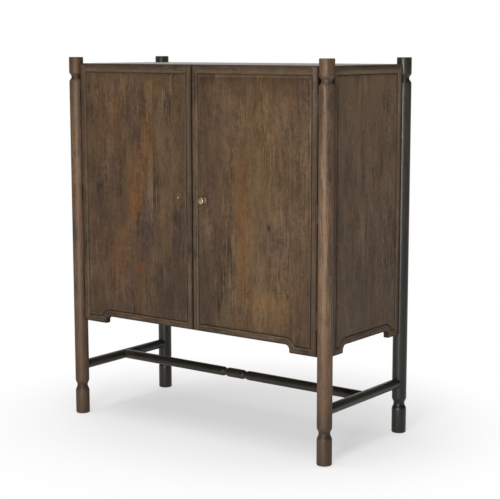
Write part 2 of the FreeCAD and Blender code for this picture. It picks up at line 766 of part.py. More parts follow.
panel_thickness = panel_back - field_sink
screw_foot = knob_seat - outwards * panel_thickness
screw_shank = rod(knob_screw_radius, Vec(0, 0, 0), Vec(0, 0, 1), panel_thickness + knob_screw_hold)
screw_head = rod(knob_screw_head_radius, Vec(0, 0, 0), Vec(0, 0, -1), knob_screw_head_height)
nodes["knob_screw"] = laid(screw_shank.fuse(screw_head).removeSplitter(), screw_foot, outwards)
bolt_hole = rod(knob_screw_radius + panel_bolt_clearance, screw_foot, outwards, panel_thickness)
nodes["right_door_panel"] = nodes["right_door_panel"].cut(bolt_hole)

for name, shape in nodes.items():
    shape.exportStep("parts/" + name + ".step")
    print(name, len(shape.Solids), round(shape.Volume), shape.isValid())
print(len(nodes), "nodes")
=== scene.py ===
import bisect
import math
import random
import bmesh
import bpy
import numpy
from mathutils import Matrix, Vector


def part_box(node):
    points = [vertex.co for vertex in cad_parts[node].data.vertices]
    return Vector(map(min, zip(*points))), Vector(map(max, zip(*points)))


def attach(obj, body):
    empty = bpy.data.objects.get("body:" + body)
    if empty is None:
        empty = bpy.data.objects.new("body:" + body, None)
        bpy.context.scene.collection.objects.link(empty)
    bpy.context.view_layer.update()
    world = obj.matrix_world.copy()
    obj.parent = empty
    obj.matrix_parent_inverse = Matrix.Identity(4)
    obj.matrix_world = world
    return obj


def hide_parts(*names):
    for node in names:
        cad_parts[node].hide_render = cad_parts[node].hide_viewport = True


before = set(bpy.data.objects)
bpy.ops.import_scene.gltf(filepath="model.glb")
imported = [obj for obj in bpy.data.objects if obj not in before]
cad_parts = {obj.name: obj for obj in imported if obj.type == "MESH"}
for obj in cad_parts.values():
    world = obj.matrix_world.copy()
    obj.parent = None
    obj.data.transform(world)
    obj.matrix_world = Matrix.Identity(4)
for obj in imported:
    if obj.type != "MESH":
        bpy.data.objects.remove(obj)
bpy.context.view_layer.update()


# Turned posts
# Four round posts of stained hardwood carry the whole cabinet, from the floor to just above the top.
# Each is turned on a lathe with a cove near the foot and one near the head, then stained and waxed by hand.

mm = 0.001
quarter = math.pi / 2
post_low, post_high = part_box("front_right_post")
post_radius = (post_high.x - post_low.x) / 2
post_x = (post_low.x + post_high.x) / 2
post_y = (post_low.y + post_high.y) / -2
foot_round = 3.5 * mm
head_round = 2.5 * mm
foot_cove = 91 * mm
foot_cove_length = 47 * mm
foot_neck = 20.5 * mm
head_cove = post_high.z - 94 * mm
head_cove_length = 38 * mm
head_neck = 19 * mm
hinge_heights = [510.5 * mm, 878.25 * mm, 1246 * mm]
hinge_length = 64 * mm
hinge_flat = 24.45 * mm
# Each post is darker or lighter at given heights, and darkest on the end grain at the top.
darkening_rings = [150 * mm, 260 * mm, 420 * mm, 700 * mm, 960 * mm, 1150 * mm]
darkening_heights = [0] + darkening_rings + [post_high.z - head_round, post_high.z]
darkening_by_height = {"front_left_post": [-0.8, -0.5, -0.42, -0.36, -0.2, -0.1, -0.22, -0.6, -1],
                "front_right_post": [-0.58, -0.52, -0.05, 0.05, 0.2, 0.1, -0.15, -0.15, -1],
                "rear_left_post": [-0.6, -0.6, -0.5, -0.4, -0.1, 0.05, 0.25, 0.25, -1],
                "rear_right_post": [-0.6, -0.6, -0.5, -0.4, -0.1, 0.05, 0.25, 0.15, -1]}
# The coves get painted shade, deepest in their necks.
painted_hollow_shade = 1.6
deepest_shaded_hollow = 0.3
post_sides = 72
round_steps = 6


def linear(colour):
    """An sRGB hex colour as the linear colour that a shader reads."""
    shares = [int(colour[place:place + 2], 16) / 255 for place in (1, 3, 5)]
    return [share / 12.92 if share <= 0.04045 else ((share + 0.055) / 1.055) ** 2.4 for share in shares] + [1]


def fill(tree, node, sockets):
    """Gives a node's inputs their constant values and their links, by name or number or in their order."""
    for key, value in sockets.items() if isinstance(sockets, dict) else enumerate(sockets):
        if isinstance(value, bpy.types.NodeSocket):
            tree.links.new(value, node.inputs[key])
        else:
            node.inputs[key].default_value = value


def add(tree, kind, sockets, out=0, **settings):
    """A node with its settings, constant inputs and links. Gives one of its outputs, where it has any."""
    made = tree.nodes.new(kind)
    for name, value in settings.items():
        setattr(made, name, value)
    fill(tree, made, sockets)
    return made.outputs[out] if made.outputs else None


def new_tree(name, sizes, kind="NodeSocketFloat"):
    """An empty Geometry Nodes tree with a named input for each size, and those inputs."""
    tree = bpy.data.node_groups.new(name, "GeometryNodeTree")
    inputs = [("Geometry", "NodeSocketGeometry")] + [(size, kind) for size in sizes]
    for label, socket in inputs + [("Material", "NodeSocketMaterial")]:
        tree.interface.new_socket(label, in_out="INPUT", socket_type=socket)
    tree.interface.new_socket("Geometry", in_out="OUTPUT", socket_type="NodeSocketGeometry")
    return tree, tree.nodes.new("NodeGroupInput").outputs


def close_tree(tree, shape, given):
    """The last nodes of every tree: instances become mesh and get their material."""
    real = add(tree, "GeometryNodeRealizeInstances", {"Geometry": shape})
    painted = add(tree, "GeometryNodeSetMaterial", {"Geometry": real, "Material": given["Material"]})
    add(tree, "NodeGroupOutput", {"Geometry": painted})


def place_object(name, mesh):
    piece = bpy.data.objects.new(name, mesh)
    bpy.context.scene.collection.objects.link(piece)
    return piece


def settled(piece, modifier):
    """Makes a plain mesh of a piece and its modifier."""
    whole = piece.evaluated_get(bpy.context.evaluated_depsgraph_get())
    piece.data = bpy.data.meshes.new_from_object(whole)
    piece.modifiers.remove(modifier)


def grown(name, start, tree, values):
    """The plain mesh that a tree makes of a starting mesh, as an object."""
    piece = place_object(name, start)
    modifier = piece.modifiers.new("grow", "NODES")
    modifier.node_group = tree
    for item in tree.interface.items_tree:
        if item.name in values:
            modifier[item.identifier] = values[item.name]
    settled(piece, modifier)
    piece.data.name = name
    return piece


def smooth(mesh, sharp_angle=32):
    """Merged, closed, outward facing and smooth, with the edges above an angle kept sharp."""
    closest = 0.002 * mm
    shape = bmesh.new()
    shape.from_mesh(mesh)
    bmesh.ops.remove_doubles(shape, verts=shape.verts, dist=closest)
    bmesh.ops.dissolve_degenerate(shape, edges=shape.edges, dist=closest)
    bmesh.ops.recalc_face_normals(shape, faces=shape.faces)
    shape.to_mesh(mesh)
    shape.free()
    mesh.shade_smooth()
    mesh.set_sharp_from_angle(angle=math.radians(sharp_angle))


def lay_grain(mesh, along, across, seed, cuts=(), looks=None):
    """Writes where each corner lies in its own board: across, through and along the grain, in metres.
    Every board also gets a tone and a warmth, from its looks or by chance."""
    chance = random.Random(seed)
    through = 3 - along - across
    aside = 9
    ahead = 0.9
    boards = [(chance.uniform(-aside, aside), chance.uniform(-aside, aside), chance.uniform(-ahead, ahead))
              for _ in range(len(cuts) + 1)]
    looks = looks or [(chance.uniform(0.25, 0.75), chance.uniform(0.2, 0.8)) for _ in boards]
    spots = [point.co[across] for point in mesh.vertices]
    ends = [min(spots), *cuts, max(spots)]
    corners = {"heart": [], "grain": [], "tone": [], "warmth": []}
    for face in mesh.polygons:
        board = bisect.bisect_left(cuts, face.center[across])
        middle = (ends[board] + ends[board + 1]) / 2
        off_across, off_through, off_along = boards[board]
        for index in face.vertices:
            place = mesh.vertices[index].co
            heart = (place[across] - middle, place[through], place[along] + off_along)
            corners["heart"] += heart
            corners["grain"] += (heart[0] + off_across, heart[1] + off_through, heart[2])
            corners["tone"].append(looks[board][0])
            corners["warmth"].append(looks[board][1])
    for word, values in corners.items():
        kind, part = ("FLOAT_VECTOR", "vector") if word in ("heart", "grain") else ("FLOAT", "value")
        mesh.attributes.new(word, kind, "CORNER").data.foreach_set(part, values)


def stand_for(piece, body, slot, *nodes):
    """The piece rides on its body and hides the CAD nodes it stands for. Its slot is not used."""
    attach(piece, body)
    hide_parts(*nodes)


def new_material(name):
    """A material, the tree that makes it and the shader at its end."""
    material = bpy.data.materials.new(name)
    material.use_nodes = True
    return material, material.node_tree, material.node_tree.nodes["Principled BSDF"]


def stained_wood(name, stains, roughness, gloss=0.15, coat=0.08, marks=(), wax="#ffffff"):
    """Stained and waxed hardwood: browns that drift in soft patches under long streaks, flecks and pores.
    Its stains are those of the pores, of the dark, plain, warm and light wood, and of the rubbed threads.
    A mark is a patch or knot: its place, half its width and height, its colour and its strength."""
    deep, dark, body, warm, light, limed = stains
    # The darkest colour stands both for glaze in corners and for painted shade in gaps, grooves and hollows.
    glaze_and_shade = "#130e0b"
    sway_size = (90 * mm, 90 * mm, 320 * mm)
    sway_reach = (40 * mm, 40 * mm, 0)
    tint_layers = ((170, 420, 0.6), (80, 210, 0.5), (40, 100, 0.35), (18, 50, 0.2))
    shade_layers = ((4, 200, 0.6), (10, 340, 0.65), (5, 7, 1.0), (11, 17, 0.95), (28, 70, 0.95),
                    (50, 330, 0.9))
    shade_shares = (0.94, 1, 1.15)
    fresh_size = (110 * mm, 110 * mm, 300 * mm)
    ring_width = 9 * mm
    ring_slope = 0.1
    ring_share = 0.25
    pore_size = (1.8 * mm, 1.8 * mm, 60 * mm)
    thread_size = (3 * mm, 3 * mm, 240 * mm)
    look_share = 0.4
    hue_start = 0.02
    hue_span = 0.28
    ragged_share = 1.6
    mark_rim = 1.15
    mark_core = 0.35
    material, tree, shader = new_material(name)
    grain, heart = [add(tree, "ShaderNodeAttribute", {}, "Vector", attribute_name=word)
                    for word in ("grain", "heart")]
    tone, warmth, wear_and_shade = [add(tree, "ShaderNodeAttribute", {}, "Fac", attribute_name=word)
                          for word in ("tone", "warmth", "wear_and_shade")]

    def noise(path, size, detail, out="Fac"):
        """Noise along a path, with features of the given size across, through and along the grain."""
        scaled = add(tree, "ShaderNodeVectorMath", (path, size), operation="DIVIDE")
        return add(tree, "ShaderNodeTexNoise", {"Vector": scaled, "Scale": 1, "Detail": detail}, out)

    def laid(colour, level, none, full, most, hue):
        """A hue laid over a colour, from where a level shows none of it to where it shows the most."""
        cover = add(tree, "ShaderNodeMapRange",
                    {"Value": level, "From Min": none, "From Max": full, "To Max": most})
        return add(tree, "ShaderNodeMix", {"Factor": cover, 6: colour, 7: linear(hue)}, 2, data_type="RGBA")

    # The grain wanders: fine layers follow a swayed path, and the rings of each board lie about its heart.
    sway = noise(grain, sway_size, 2, "Color")
    swayed, centred = [add(tree, "ShaderNodeVectorMath", (sway, sway_reach, path),
                           operation="MULTIPLY_ADD") for path in (grain, heart)]
    leaned = add(tree, "ShaderNodeVectorMath", (centred, (1, 0, ring_slope)), operation="MULTIPLY")
    distance = add(tree, "ShaderNodeVectorMath", (leaned,), "Value", operation="LENGTH")
    counted = add(tree, "ShaderNodeMath", (distance, ring_width), operation="DIVIDE")
    ring = add(tree, "ShaderNodeTexNoise", {"W": counted, "Scale": 1, "Detail": 2}, "Fac",
               noise_dimensions="1D")

    # Drifts of hue, from broad clouds to small blots, are moved by each board's own tone and warmth.
    tint = (0, 0, 0)
    for width, length, share in tint_layers:
        blot = noise(grain, (width * mm, width * mm, length * mm), 2, "Color")
        tint = add(tree, "ShaderNodeVectorMath", (blot, (share, share, share), tint),
                   operation="MULTIPLY_ADD")
    drift = [add(tree, "ShaderNodeSeparateXYZ", (tint,), axis) for axis in "XYZ"]
    middle = sum(share for _, _, share in tint_layers) / 2
    colour = linear(body)
    for level, look, share, hue, most in ((drift[0], warmth, look_share, warm, 0.9),
                                          (drift[2], tone, look_share, light, 0.8),
                                          (drift[1], tone, -look_share, dark, 0.9)):
        moved = add(tree, "ShaderNodeMath", (look, share, level), operation="MULTIPLY_ADD")
        low = middle + share / 2 - hue_start
        colour = laid(colour, moved, low, low + hue_span, most, hue)

    # Marks keep their place on the piece, with ragged edges.
    where = add(tree, "ShaderNodeTexCoord", {}, "Object")
    usual = ragged_share * middle
    for place, width, height, hue, most in marks:
        shares = (1 / width, 0, 1 / height)
        apart = add(tree, "ShaderNodeVectorMath", (where, place), operation="SUBTRACT")
        oval = add(tree, "ShaderNodeVectorMath", (apart, shares), operation="MULTIPLY")
        reach = add(tree, "ShaderNodeVectorMath", (oval,), "Value", operation="LENGTH")
        ragged = add(tree, "ShaderNodeMath", (drift[1], ragged_share, reach), operation="MULTIPLY_ADD")
        colour = laid(colour, ragged, mark_rim + usual, mark_core + usual, most, hue)

    # Long streaks and flecks lighten and darken it, strongly in some places and hardly in others.
    shade = add(tree, "ShaderNodeMath", (ring, ring_share, -ring_share / 2), operation="MULTIPLY_ADD")
    for width, length, share in shade_layers:
        streak = noise(swayed, (width * mm, width * mm, length * mm), 3)
        off = add(tree, "ShaderNodeMath", (streak, 0.5), operation="SUBTRACT")
        shade = add(tree, "ShaderNodeMath", (off, share, shade), operation="MULTIPLY_ADD")
    fresh = noise(grain, fresh_size, 2)
    force = add(tree, "ShaderNodeMapRange",
                {"Value": fresh, "From Min": 0.36, "From Max": 0.64, "To Min": 0.6, "To Max": 1.4})
    shade = add(tree, "ShaderNodeMath", (shade, force), operation="MULTIPLY")
    plain = [part * share for part, share in zip(linear(body), shade_shares)]
    colour = add(tree, "ShaderNodeVectorMath", (shade, plain, colour), operation="MULTIPLY_ADD")

    # Dark pores, pale threads, the glaze and painted shade in corners, gaps and hollows,
    # other darkening and the rubbed edges lie on top.
    pore = noise(swayed, pore_size, 1)
    thread = noise(swayed, thread_size, 1)
    bared = add(tree, "ShaderNodeMath", (fresh, 0.5, thread), operation="MULTIPLY_ADD")
    for level, none, full, most, hue in ((pore, 0.58, 0.74, 0.45, deep), (bared, 0.87, 1.02, 0.5, limed),
                                         (wear_and_shade, 0, -1, 0.9, glaze_and_shade), (wear_and_shade, 0, 1, 0.7, limed)):
        colour = laid(colour, level, none, full, most, hue)
    dull = add(tree, "ShaderNodeMapRange", {"Value": shade, "From Min": -0.3, "From Max": 0.3,
                                            "To Min": roughness - 0.05, "To Max": roughness + 0.07})
    relief = add(tree, "ShaderNodeMath", (pore, -0.6, shade), operation="MULTIPLY_ADD")
    bump = add(tree, "ShaderNodeBump", {"Height": relief, "Strength": 0.2, "Distance": 0.5 * mm})
    fill(tree, shader, {"Base Color": colour, "Roughness": dull, "Normal": bump, "Specular IOR Level": gloss,
                        "Specular Tint": linear(wax), "Coat Weight": coat, "Coat Roughness": 0.22})
    return material


turning, given = new_tree("turned piece", ("Sides",), "NodeSocketInt")
centre_line = add(turning, "GeometryNodeMeshToCurve", {"Mesh": given["Geometry"]})
round_section = add(turning, "GeometryNodeCurvePrimitiveCircle", {"Resolution": given["Sides"], "Radius": 1})
pattern_radius = add(turning, "GeometryNodeInputNamedAttribute", {"Name": "turned_radius"}, data_type="FLOAT")
turned_skin = add(turning, "GeometryNodeCurveToMesh", {"Curve": centre_line, "Profile Curve": round_section,
                                                       "Scale": pattern_radius, "Fill Caps": True})
close_tree(turning, turned_skin, given)


def turned(name, pattern, start, axis, sides, material):
    """A lathe piece: the pattern lists radius and distance along the axis from the start."""
    line = bpy.data.meshes.new(name)
    places = [Vector(start) + Vector(axis) * along for _, along in pattern]
    line.from_pydata(places, [(index, index + 1) for index in range(len(pattern) - 1)], [])
    radii = line.attributes.new("turned_radius", "FLOAT", "POINT")
    radii.data.foreach_set("value", [radius for radius, _ in pattern])
    piece = grown(name, line, turning, {"Sides": sides, "Material": material})
    smooth(piece.data)
    return piece


def arc(radius, along, size, start, end, steps):
    """Points of a round edge, from one angle to another, about a centre at a radius and a distance along."""
    turns = [start + (end - start) * step / steps for step in range(steps + 1)]
    return [(radius + size * math.cos(turn), along + size * math.sin(turn)) for turn in turns]


def cove(radius, neck, start, length):
    """A hollow turned with four equal arcs, so that it leaves and meets the round without an edge."""
    fall = radius - neck
    half = length / 2
    bend = (half ** 2 + fall ** 2) / (4 * fall)
    lean = math.asin(half / 2 / bend)
    first = arc(radius - bend, start, bend, 0, lean, round_steps)
    second = arc(neck + bend, start + half, bend, math.pi + lean, math.pi, round_steps)
    down = first + second[1:]
    back = [(point, 2 * (start + half) - along) for point, along in reversed(down[:-1])]
    return down + back


def cut_away(piece, tools):
    """Cuts the shapes of some other objects out of a piece, and takes those away."""
    for tool in tools:
        modifier = piece.modifiers.new("cut", "BOOLEAN")
        modifier.object = tool
        modifier.operation = "DIFFERENCE"
        modifier.solver = "EXACT"
        settled(piece, modifier)
        bpy.data.objects.remove(tool)


def box_shape(low, high):
    """A plain box between two corners, as a shape."""
    shape = bmesh.new()
    bmesh.ops.create_cube(shape, size=1)
    for point in shape.verts:
        point.co = [a + (b - a) * (share + 0.5) for a, b, share in zip(low, high, point.co)]
    return shape


def shaped(name, shape):
    """An object with the mesh of a shape, which is used up."""
    mesh = bpy.data.meshes.new(name)
    shape.to_mesh(mesh)
    shape.free()
    return place_object(name, mesh)


# Brown stain over a close-grained hardwood, waxed to a soft satin: vertical streaks and a broad warm shine.
post_stains = ("#271d15", "#412f22", "#563e2a", "#664525", "#70573d", "#866e52")
post_wood = stained_wood("stained_mango_posts", post_stains, 0.55, gloss=0.55, coat=0, wax="#ffeedf")
# A far darker wood for the pieces at the back and below, which look almost black.
dark_stains = ("#100e0b", "#1b1813", "#221e18", "#2a2219", "#332e25", "#403a30")
dark_wood = stained_wood("stained_mango_dark", dark_stains, 0.36, gloss=0.4, coat=0)

post_pattern = arc(post_radius - foot_round, post_low.z + foot_round, foot_round, -quarter, 0, round_steps)
post_pattern += cove(post_radius, foot_neck, foot_cove, foot_cove_length)
post_pattern += [(post_radius, height) for height in darkening_rings]
post_pattern += cove(post_radius, head_neck, head_cove, head_cove_length)
post_pattern += arc(post_radius - head_round, post_high.z - head_round, head_round, 0, quarter, round_steps)
for number, (end, side) in enumerate((("front", -1), ("front", 1), ("rear", -1), ("rear", 1))):
    node = f"{end}_{'left' if side < 0 else 'right'}_post"
    wood = post_wood if end == "front" else dark_wood
    depth = -post_y if end == "front" else post_y
    post = turned(node + "_wood", post_pattern, (side * post_x, depth, 0), (0, 0, 1), post_sides, wood)
    if end == "front":
        flats = []
        for height in hinge_heights:
            ends = sorted((side * (post_x - hinge_flat), side * (post_x - 2 * post_radius)))
            low = (ends[0], -post_y - post_radius, height - hinge_length / 2)
            high = (ends[1], -post_y + post_radius, height + hinge_length / 2)
            flats.append(shaped("flat", box_shape(low, high)))
        cut_away(post, flats)
        smooth(post.data)
    lay_grain(post.data, 2, 0, 11 + number)
    # Each point is darker or lighter by its height, and painted shade is laid in the coves.
    points = [point.co for point in post.data.vertices]
    shaded_hollows = [1 - math.hypot(x - side * post_x, y - depth) / post_radius for x, y, _ in points]
    layers = numpy.interp([z for _, _, z in points], darkening_heights, darkening_by_height[node])
    layers -= numpy.clip(shaded_hollows, 0, deepest_shaded_hollow) * painted_hollow_shade
    post.data.attributes.new("wear_and_shade", "FLOAT", "POINT").data.foreach_set("value", layers)
    stand_for(post, "cabinet", "post_wood", node)


# Floor glides
# A round nylon glide with an eased rim is pressed into the foot of each post.
# It is moulded in one piece, and only its edge shows as a thin dark line at the floor.

glide_radius = 16 * mm
glide_thickness = post_low.z
glide_ease = 0.8 * mm


def moulded(name, colour, roughness, speck):
    """Moulded plastic or rubber: a faint mottled sheen over a plain colour."""
    grit = 0.7 * mm
    dust = linear("#d8d4cc")
    material, tree, shader = new_material(name)
    where = add(tree, "ShaderNodeTexCoord", {}, "Object")
    fine = add(tree, "ShaderNodeTexNoise", {"Vector": where, "Scale": 1 / grit, "Detail": 2}, "Fac")
    tint = add(tree, "ShaderNodeMapRange", {"Value": fine, "To Max": speck})
    mixed = add(tree, "ShaderNodeMix", {"Factor": tint, 6: linear(colour), 7: dust}, 2, data_type="RGBA")
    dull = add(tree, "ShaderNodeMapRange",
               {"Value": fine, "To Min": roughness - 0.1, "To Max": roughness + 0.1})
    bump = add(tree, "ShaderNodeBump", {"Height": fine, "Strength": 0.15, "Distance": 0.1 * mm})
    fill(tree, shader, {"Base Color": mixed, "Roughness": dull, "Normal": bump, "IOR": 1.52})
    return material


def round_rows(tree, rows):
    """A closed round skin through rows, each with its place along the axis and its radius."""
    line = add(tree, "GeometryNodeCurvePrimitiveLine", {"End": (0, 0, 1)})
    path = add(tree, "GeometryNodeResampleCurve", {"Curve": line, "Count": len(rows)})
    index = add(tree, "GeometryNodeInputIndex", {})
    sides = 24
    height = 0
    radius = 0
    for number, (far, wide) in enumerate(rows):
        here = add(tree, "FunctionNodeCompare", {2: index, 3: number}, data_type="INT", operation="EQUAL")
        height = add(tree, "ShaderNodeMath", (here, far, height), operation="MULTIPLY_ADD")
        radius = add(tree, "ShaderNodeMath", (here, wide, radius), operation="MULTIPLY_ADD")
    place = add(tree, "ShaderNodeCombineXYZ", {"Z": height})
    path = add(tree, "GeometryNodeSetPosition", {"Geometry": path, "Position": place})
    ring = add(tree, "GeometryNodeCurvePrimitiveCircle", {"Resolution": sides, "Radius": 1})
    return add(tree, "GeometryNodeCurveToMesh",
               {"Curve": path, "Profile Curve": ring, "Scale": radius, "Fill Caps": True})


def set_on_points(tree, shape, given):
    """Stands a shape on every starting point, turned to the point's axis, and closes the tree."""
    axis = add(tree, "GeometryNodeInputNamedAttribute", {"Name": "axis"}, data_type="FLOAT_VECTOR")
    turn = add(tree, "FunctionNodeAlignRotationToVector", {"Vector": axis}, axis="Z")
    copies = add(tree, "GeometryNodeInstanceOnPoints",
                 {"Points": given["Geometry"], "Instance": shape, "Rotation": turn})
    close_tree(tree, copies, given)


# One tree makes every short round peg: a cylinder with eased ends.
pegs, given = new_tree("eased pegs", ("Radius", "Length", "Ease"))
tip_radius = add(pegs, "ShaderNodeMath", (given["Radius"], given["Ease"]), operation="SUBTRACT")
tip_start = add(pegs, "ShaderNodeMath", (given["Length"], given["Ease"]), operation="SUBTRACT")
peg_rows = ((0, tip_radius), (given["Ease"], given["Radius"]), (tip_start, given["Radius"]),
            (given["Length"], tip_radius))
set_on_points(pegs, round_rows(pegs, peg_rows), given)


def set_out(name, places):
    """A mesh of points with the axis that stands on each."""
    points = bpy.data.meshes.new(name)
    points.from_pydata([place for place, _ in places], [], [])
    axes = points.attributes.new("axis", "FLOAT_VECTOR", "POINT")
    axes.data.foreach_set("vector", [part for _, axis in places for part in axis])
    return points


def planted(node, stuff, places, tree, sizes, material, body, slot):
    """One piece for a node: the same small shape on each of its places."""
    piece = grown(f"{node}_{stuff}", set_out(node, places), tree, {**sizes, "Material": material})
    smooth(piece.data)
    stand_for(piece, body, slot, node)


# Nylon, moulded and slightly scuffed: an even near-black with a dull sheen.
nylon = moulded("moulded_nylon", "#1d1a17", 0.5, 0.04)
glide_places = [((x, y, 0), (0, 0, 1)) for x in (-post_x, post_x) for y in (-post_y, post_y)]
glide = {"Radius": glide_radius, "Length": glide_thickness, "Ease": glide_ease}
planted("floor_glides", "nylon", glide_places, pegs, glide, nylon, "cabinet", "glide_plastic")


# Stretchers
# Two round bars join front and rear posts, and a turned bar with two coves joins them in an H.
# All three are turned from the same hardwood, and their ends are let into what they meet.

bar_low, bar_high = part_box("right_side_stretcher")
bar_radius = (bar_high.z - bar_low.z) / 2
bar_height = (bar_high.z + bar_low.z) / 2
centre_low, centre_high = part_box("centre_stretcher")
centre_radius = (centre_high.z - centre_low.z) / 2
centre_neck = 14.5 * mm
centre_barrel = 61 * mm
centre_cove = 33 * mm
bar_sides = 56
bar_lengths = 8
along_x = (1, 0, 0)
along_y = (0, 1, 0)
for number, side in enumerate((-1, 1)):
    node = "left_side_stretcher" if side < 0 else "right_side_stretcher"
    length = bar_high.y - bar_low.y
    bar_pattern = [(bar_radius, length * step / bar_lengths) for step in range(bar_lengths + 1)]
    bar_start = (side * post_x, bar_low.y, bar_height)
    bar = turned(node + "_wood", bar_pattern, bar_start, along_y, bar_sides, dark_wood)
    lay_grain(bar.data, 1, 0, 21 + number)
    stand_for(bar, "cabinet", "post_wood", node)

centre_pattern = [(centre_radius, -post_x)]
centre_pattern += cove(centre_radius, centre_neck, -centre_barrel / 2 - centre_cove, centre_cove)
centre_pattern += cove(centre_radius, centre_neck, centre_barrel / 2, centre_cove)
centre_pattern += [(centre_radius, post_x)]
centre_bar = turned("centre_stretcher_wood", centre_pattern, (0, 0, bar_height), along_x, bar_sides,
                    dark_wood)
cope = [(bar_radius, -post_y), (bar_radius, post_y)]
cut_away(centre_bar, [turned("cope", cope, (x, 0, bar_height), along_y, bar_sides, dark_wood)
                      for x in (-post_x, post_x)])
smooth(centre_bar.data)
lay_grain(centre_bar.data, 0, 1, 23)
stand_for(centre_bar, "cabinet", "post_wood", "centre_stretcher")


# Framed sides
# Each side is a frame of stiles and rails with a bead round the opening, and a raised panel in its groove.
# The lower rail is sawn to a shaped apron between two ears. Panels are glued up from upright boards.

stile_low, stile_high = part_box("right_side_front_stile")
side_face = stile_high.x
ear_bottom = stile_low.z
frame_top = stile_high.z
ear_drop = 28 * mm
rail_bottom = ear_bottom + ear_drop
frame_thickness = 22 * mm
stile_width = 25 * mm
top_extra = 7 * mm
edge_ease = 6 * mm
back_ease = 1 * mm
bead_width = 8 * mm
bead_quirk = 0.8 * mm
bead_depth = 6 * mm
ear_round = 6 * mm
step_round = 18 * mm
panel_back = 16 * mm
tongue_face = 8 * mm
tongue_depth = 8 * mm
field_sink = 1.2 * mm
bevel_gap = 1.6 * mm
bevel_shoulder = 5 * mm
bevel_width = 10.4 * mm
sharp_board = 35
bead_steps = 10
edge_steps = 6
back_steps = 3
bevel_steps = 9
step_steps = 12
ear_steps = 8
# The bead's crown is rubbed lighter; its edges, the quirk and the panel's bevel get glaze and painted shade.
bead_wear = 0.2
seam_glaze_and_shade = -0.5
quirk_glaze_and_shade = -0.7
# The frame's outer edges and back, which lie in the gaps, get painted shade.
painted_edge_shade = (-0.35, -0.65)
painted_back_shade = -0.8
bevel_glaze_and_shade = (-0.7, 0.5)
side_edge = 225 * mm
side_step = 134 * mm
burnish_width = 90 * mm
side_burnish = (0.1, 0.1, 0.1, 0)
# The faces of the side's top rail and rear stile are darker.
side_face_darkening = {"top_rail": -0.45, "high_stile": -0.3}
side_cuts = [-96 * mm, -18 * mm, 78 * mm]
side_frame_look = (0.5, 0.2)
side_looks = [(0.45, 0.35), (0.5, 0.5), (0.6, 0.3), (0.5, 0.6)]


def step_points(form, end, inset):
    """The sawn step of an apron from the rail down to the ear, drawn inside the edge by an inset."""
    hollow = rail_bottom - step_round
    size = step_round + inset
    if inset < ear_round:
        drop = hollow - ear_bottom - ear_round
        lean = -math.asin(drop / (ear_round + step_round))
        path = arc(0, hollow, size, quarter, lean, step_steps)
        middle = (ear_round + step_round) * math.cos(lean)
        path += arc(middle, ear_bottom + ear_round, ear_round - inset, math.pi + lean, 3 * quarter, ear_steps)
    else:
        lean = math.asin((ear_bottom + inset - hollow) / size)
        path = arc(0, hollow, size, quarter, lean, step_steps)
        path += [path[-1]] * (ear_steps + 1)
    return [(form["steps"][end] + end * out, height) for out, height in path]


def outline(form, inset, extra):
    """The frame's outline as (across, height), inside its edge by an inset, and by some extra at the top."""
    points = []
    for end in (-1, 1):
        edge = form["edges"][end] - end * inset
        low = [(edge, rail_bottom + inset)]
        if form["steps"][end] is not None:
            low = step_points(form, end, inset) + [(edge, ear_bottom + inset)]
        points += low if end > 0 else low[::-1]
    top = frame_top - inset - extra
    return points + [(form["edges"][1] - inset, top), (form["edges"][-1] + inset, top)]


def quarter_turns(steps):
    return [quarter * step / steps for step in range(steps + 1)]


# Each row of the frame's section: inset from the edge, depth behind the face, extra at the top,
# and wear, glaze and painted shade.
bead_start = stile_width - bead_width
quirk_bottom = bead_start - 0.3 * mm
quirk_depth = bead_quirk * 1.3
quirk_edge = bead_start - 0.9 * mm
flat_edge = edge_ease + 5 * mm
frame_rows = []
for turn in reversed(quarter_turns(bead_steps)):
    inset = bead_start + bead_width * math.sin(turn)
    depth = bead_depth - (bead_depth - bead_quirk) * math.cos(turn)
    wear_and_shade_level = seam_glaze_and_shade if turn in (0, quarter) else bead_wear * math.sin(2 * turn)
    frame_rows.append((inset, depth, top_extra * math.sin(turn), wear_and_shade_level))
frame_rows += [(quirk_bottom, quirk_depth, 0, quirk_glaze_and_shade), (quirk_edge, 0, 0, 0), (flat_edge, 0, 0, 0)]
for turn in quarter_turns(edge_steps):
    inset = edge_ease * (1 - math.sin(turn))
    depth = edge_ease * (1 - math.cos(turn))
    frame_rows.append((inset, depth, 0, painted_edge_shade[0] + painted_edge_shade[1] * turn / quarter))
for turn in quarter_turns(back_steps):
    depth = frame_thickness - back_ease * (1 - math.sin(turn))
    frame_rows.append((back_ease * (1 - math.cos(turn)), depth, 0, painted_back_shade))
for turn in quarter_turns(back_steps):
    depth = frame_thickness - back_ease * (1 - math.cos(turn))
    frame_rows.append((stile_width - back_ease * (1 - math.sin(turn)), depth, top_extra, 0))
groove_slack = 0.05 * mm
groove_room = 0.25 * mm
groove_inset = stile_width - tongue_depth - groove_room
# The groove's mouth, deep in the gap, gets the darkest painted shade.
frame_rows += [(stile_width, panel_back + groove_slack, top_extra, 0),
               (groove_inset, panel_back + groove_slack, top_extra, 0),
               (groove_inset, tongue_face - groove_slack, top_extra, 0),
               (stile_width, tongue_face - groove_slack, top_extra, -1)]

raise_inset = stile_width + bevel_gap
panel_rows = []
for turn in reversed(quarter_turns(bevel_steps)):
    inset = raise_inset + bevel_width * (1 - math.cos(turn))
    depth = bevel_shoulder - (bevel_shoulder - field_sink) * math.sin(turn)
    panel_rows.append((inset, depth, top_extra, bevel_glaze_and_shade[0] + bevel_glaze_and_shade[1] * math.sin(turn)))
# The panel's shoulder and tongue, deep in the gap, get the darkest painted shade.
panel_rows += [(raise_inset, tongue_face, top_extra, -1),
               (stile_width - tongue_depth, tongue_face, top_extra, -1),
               (stile_width - tongue_depth, panel_back, top_extra, 0)]


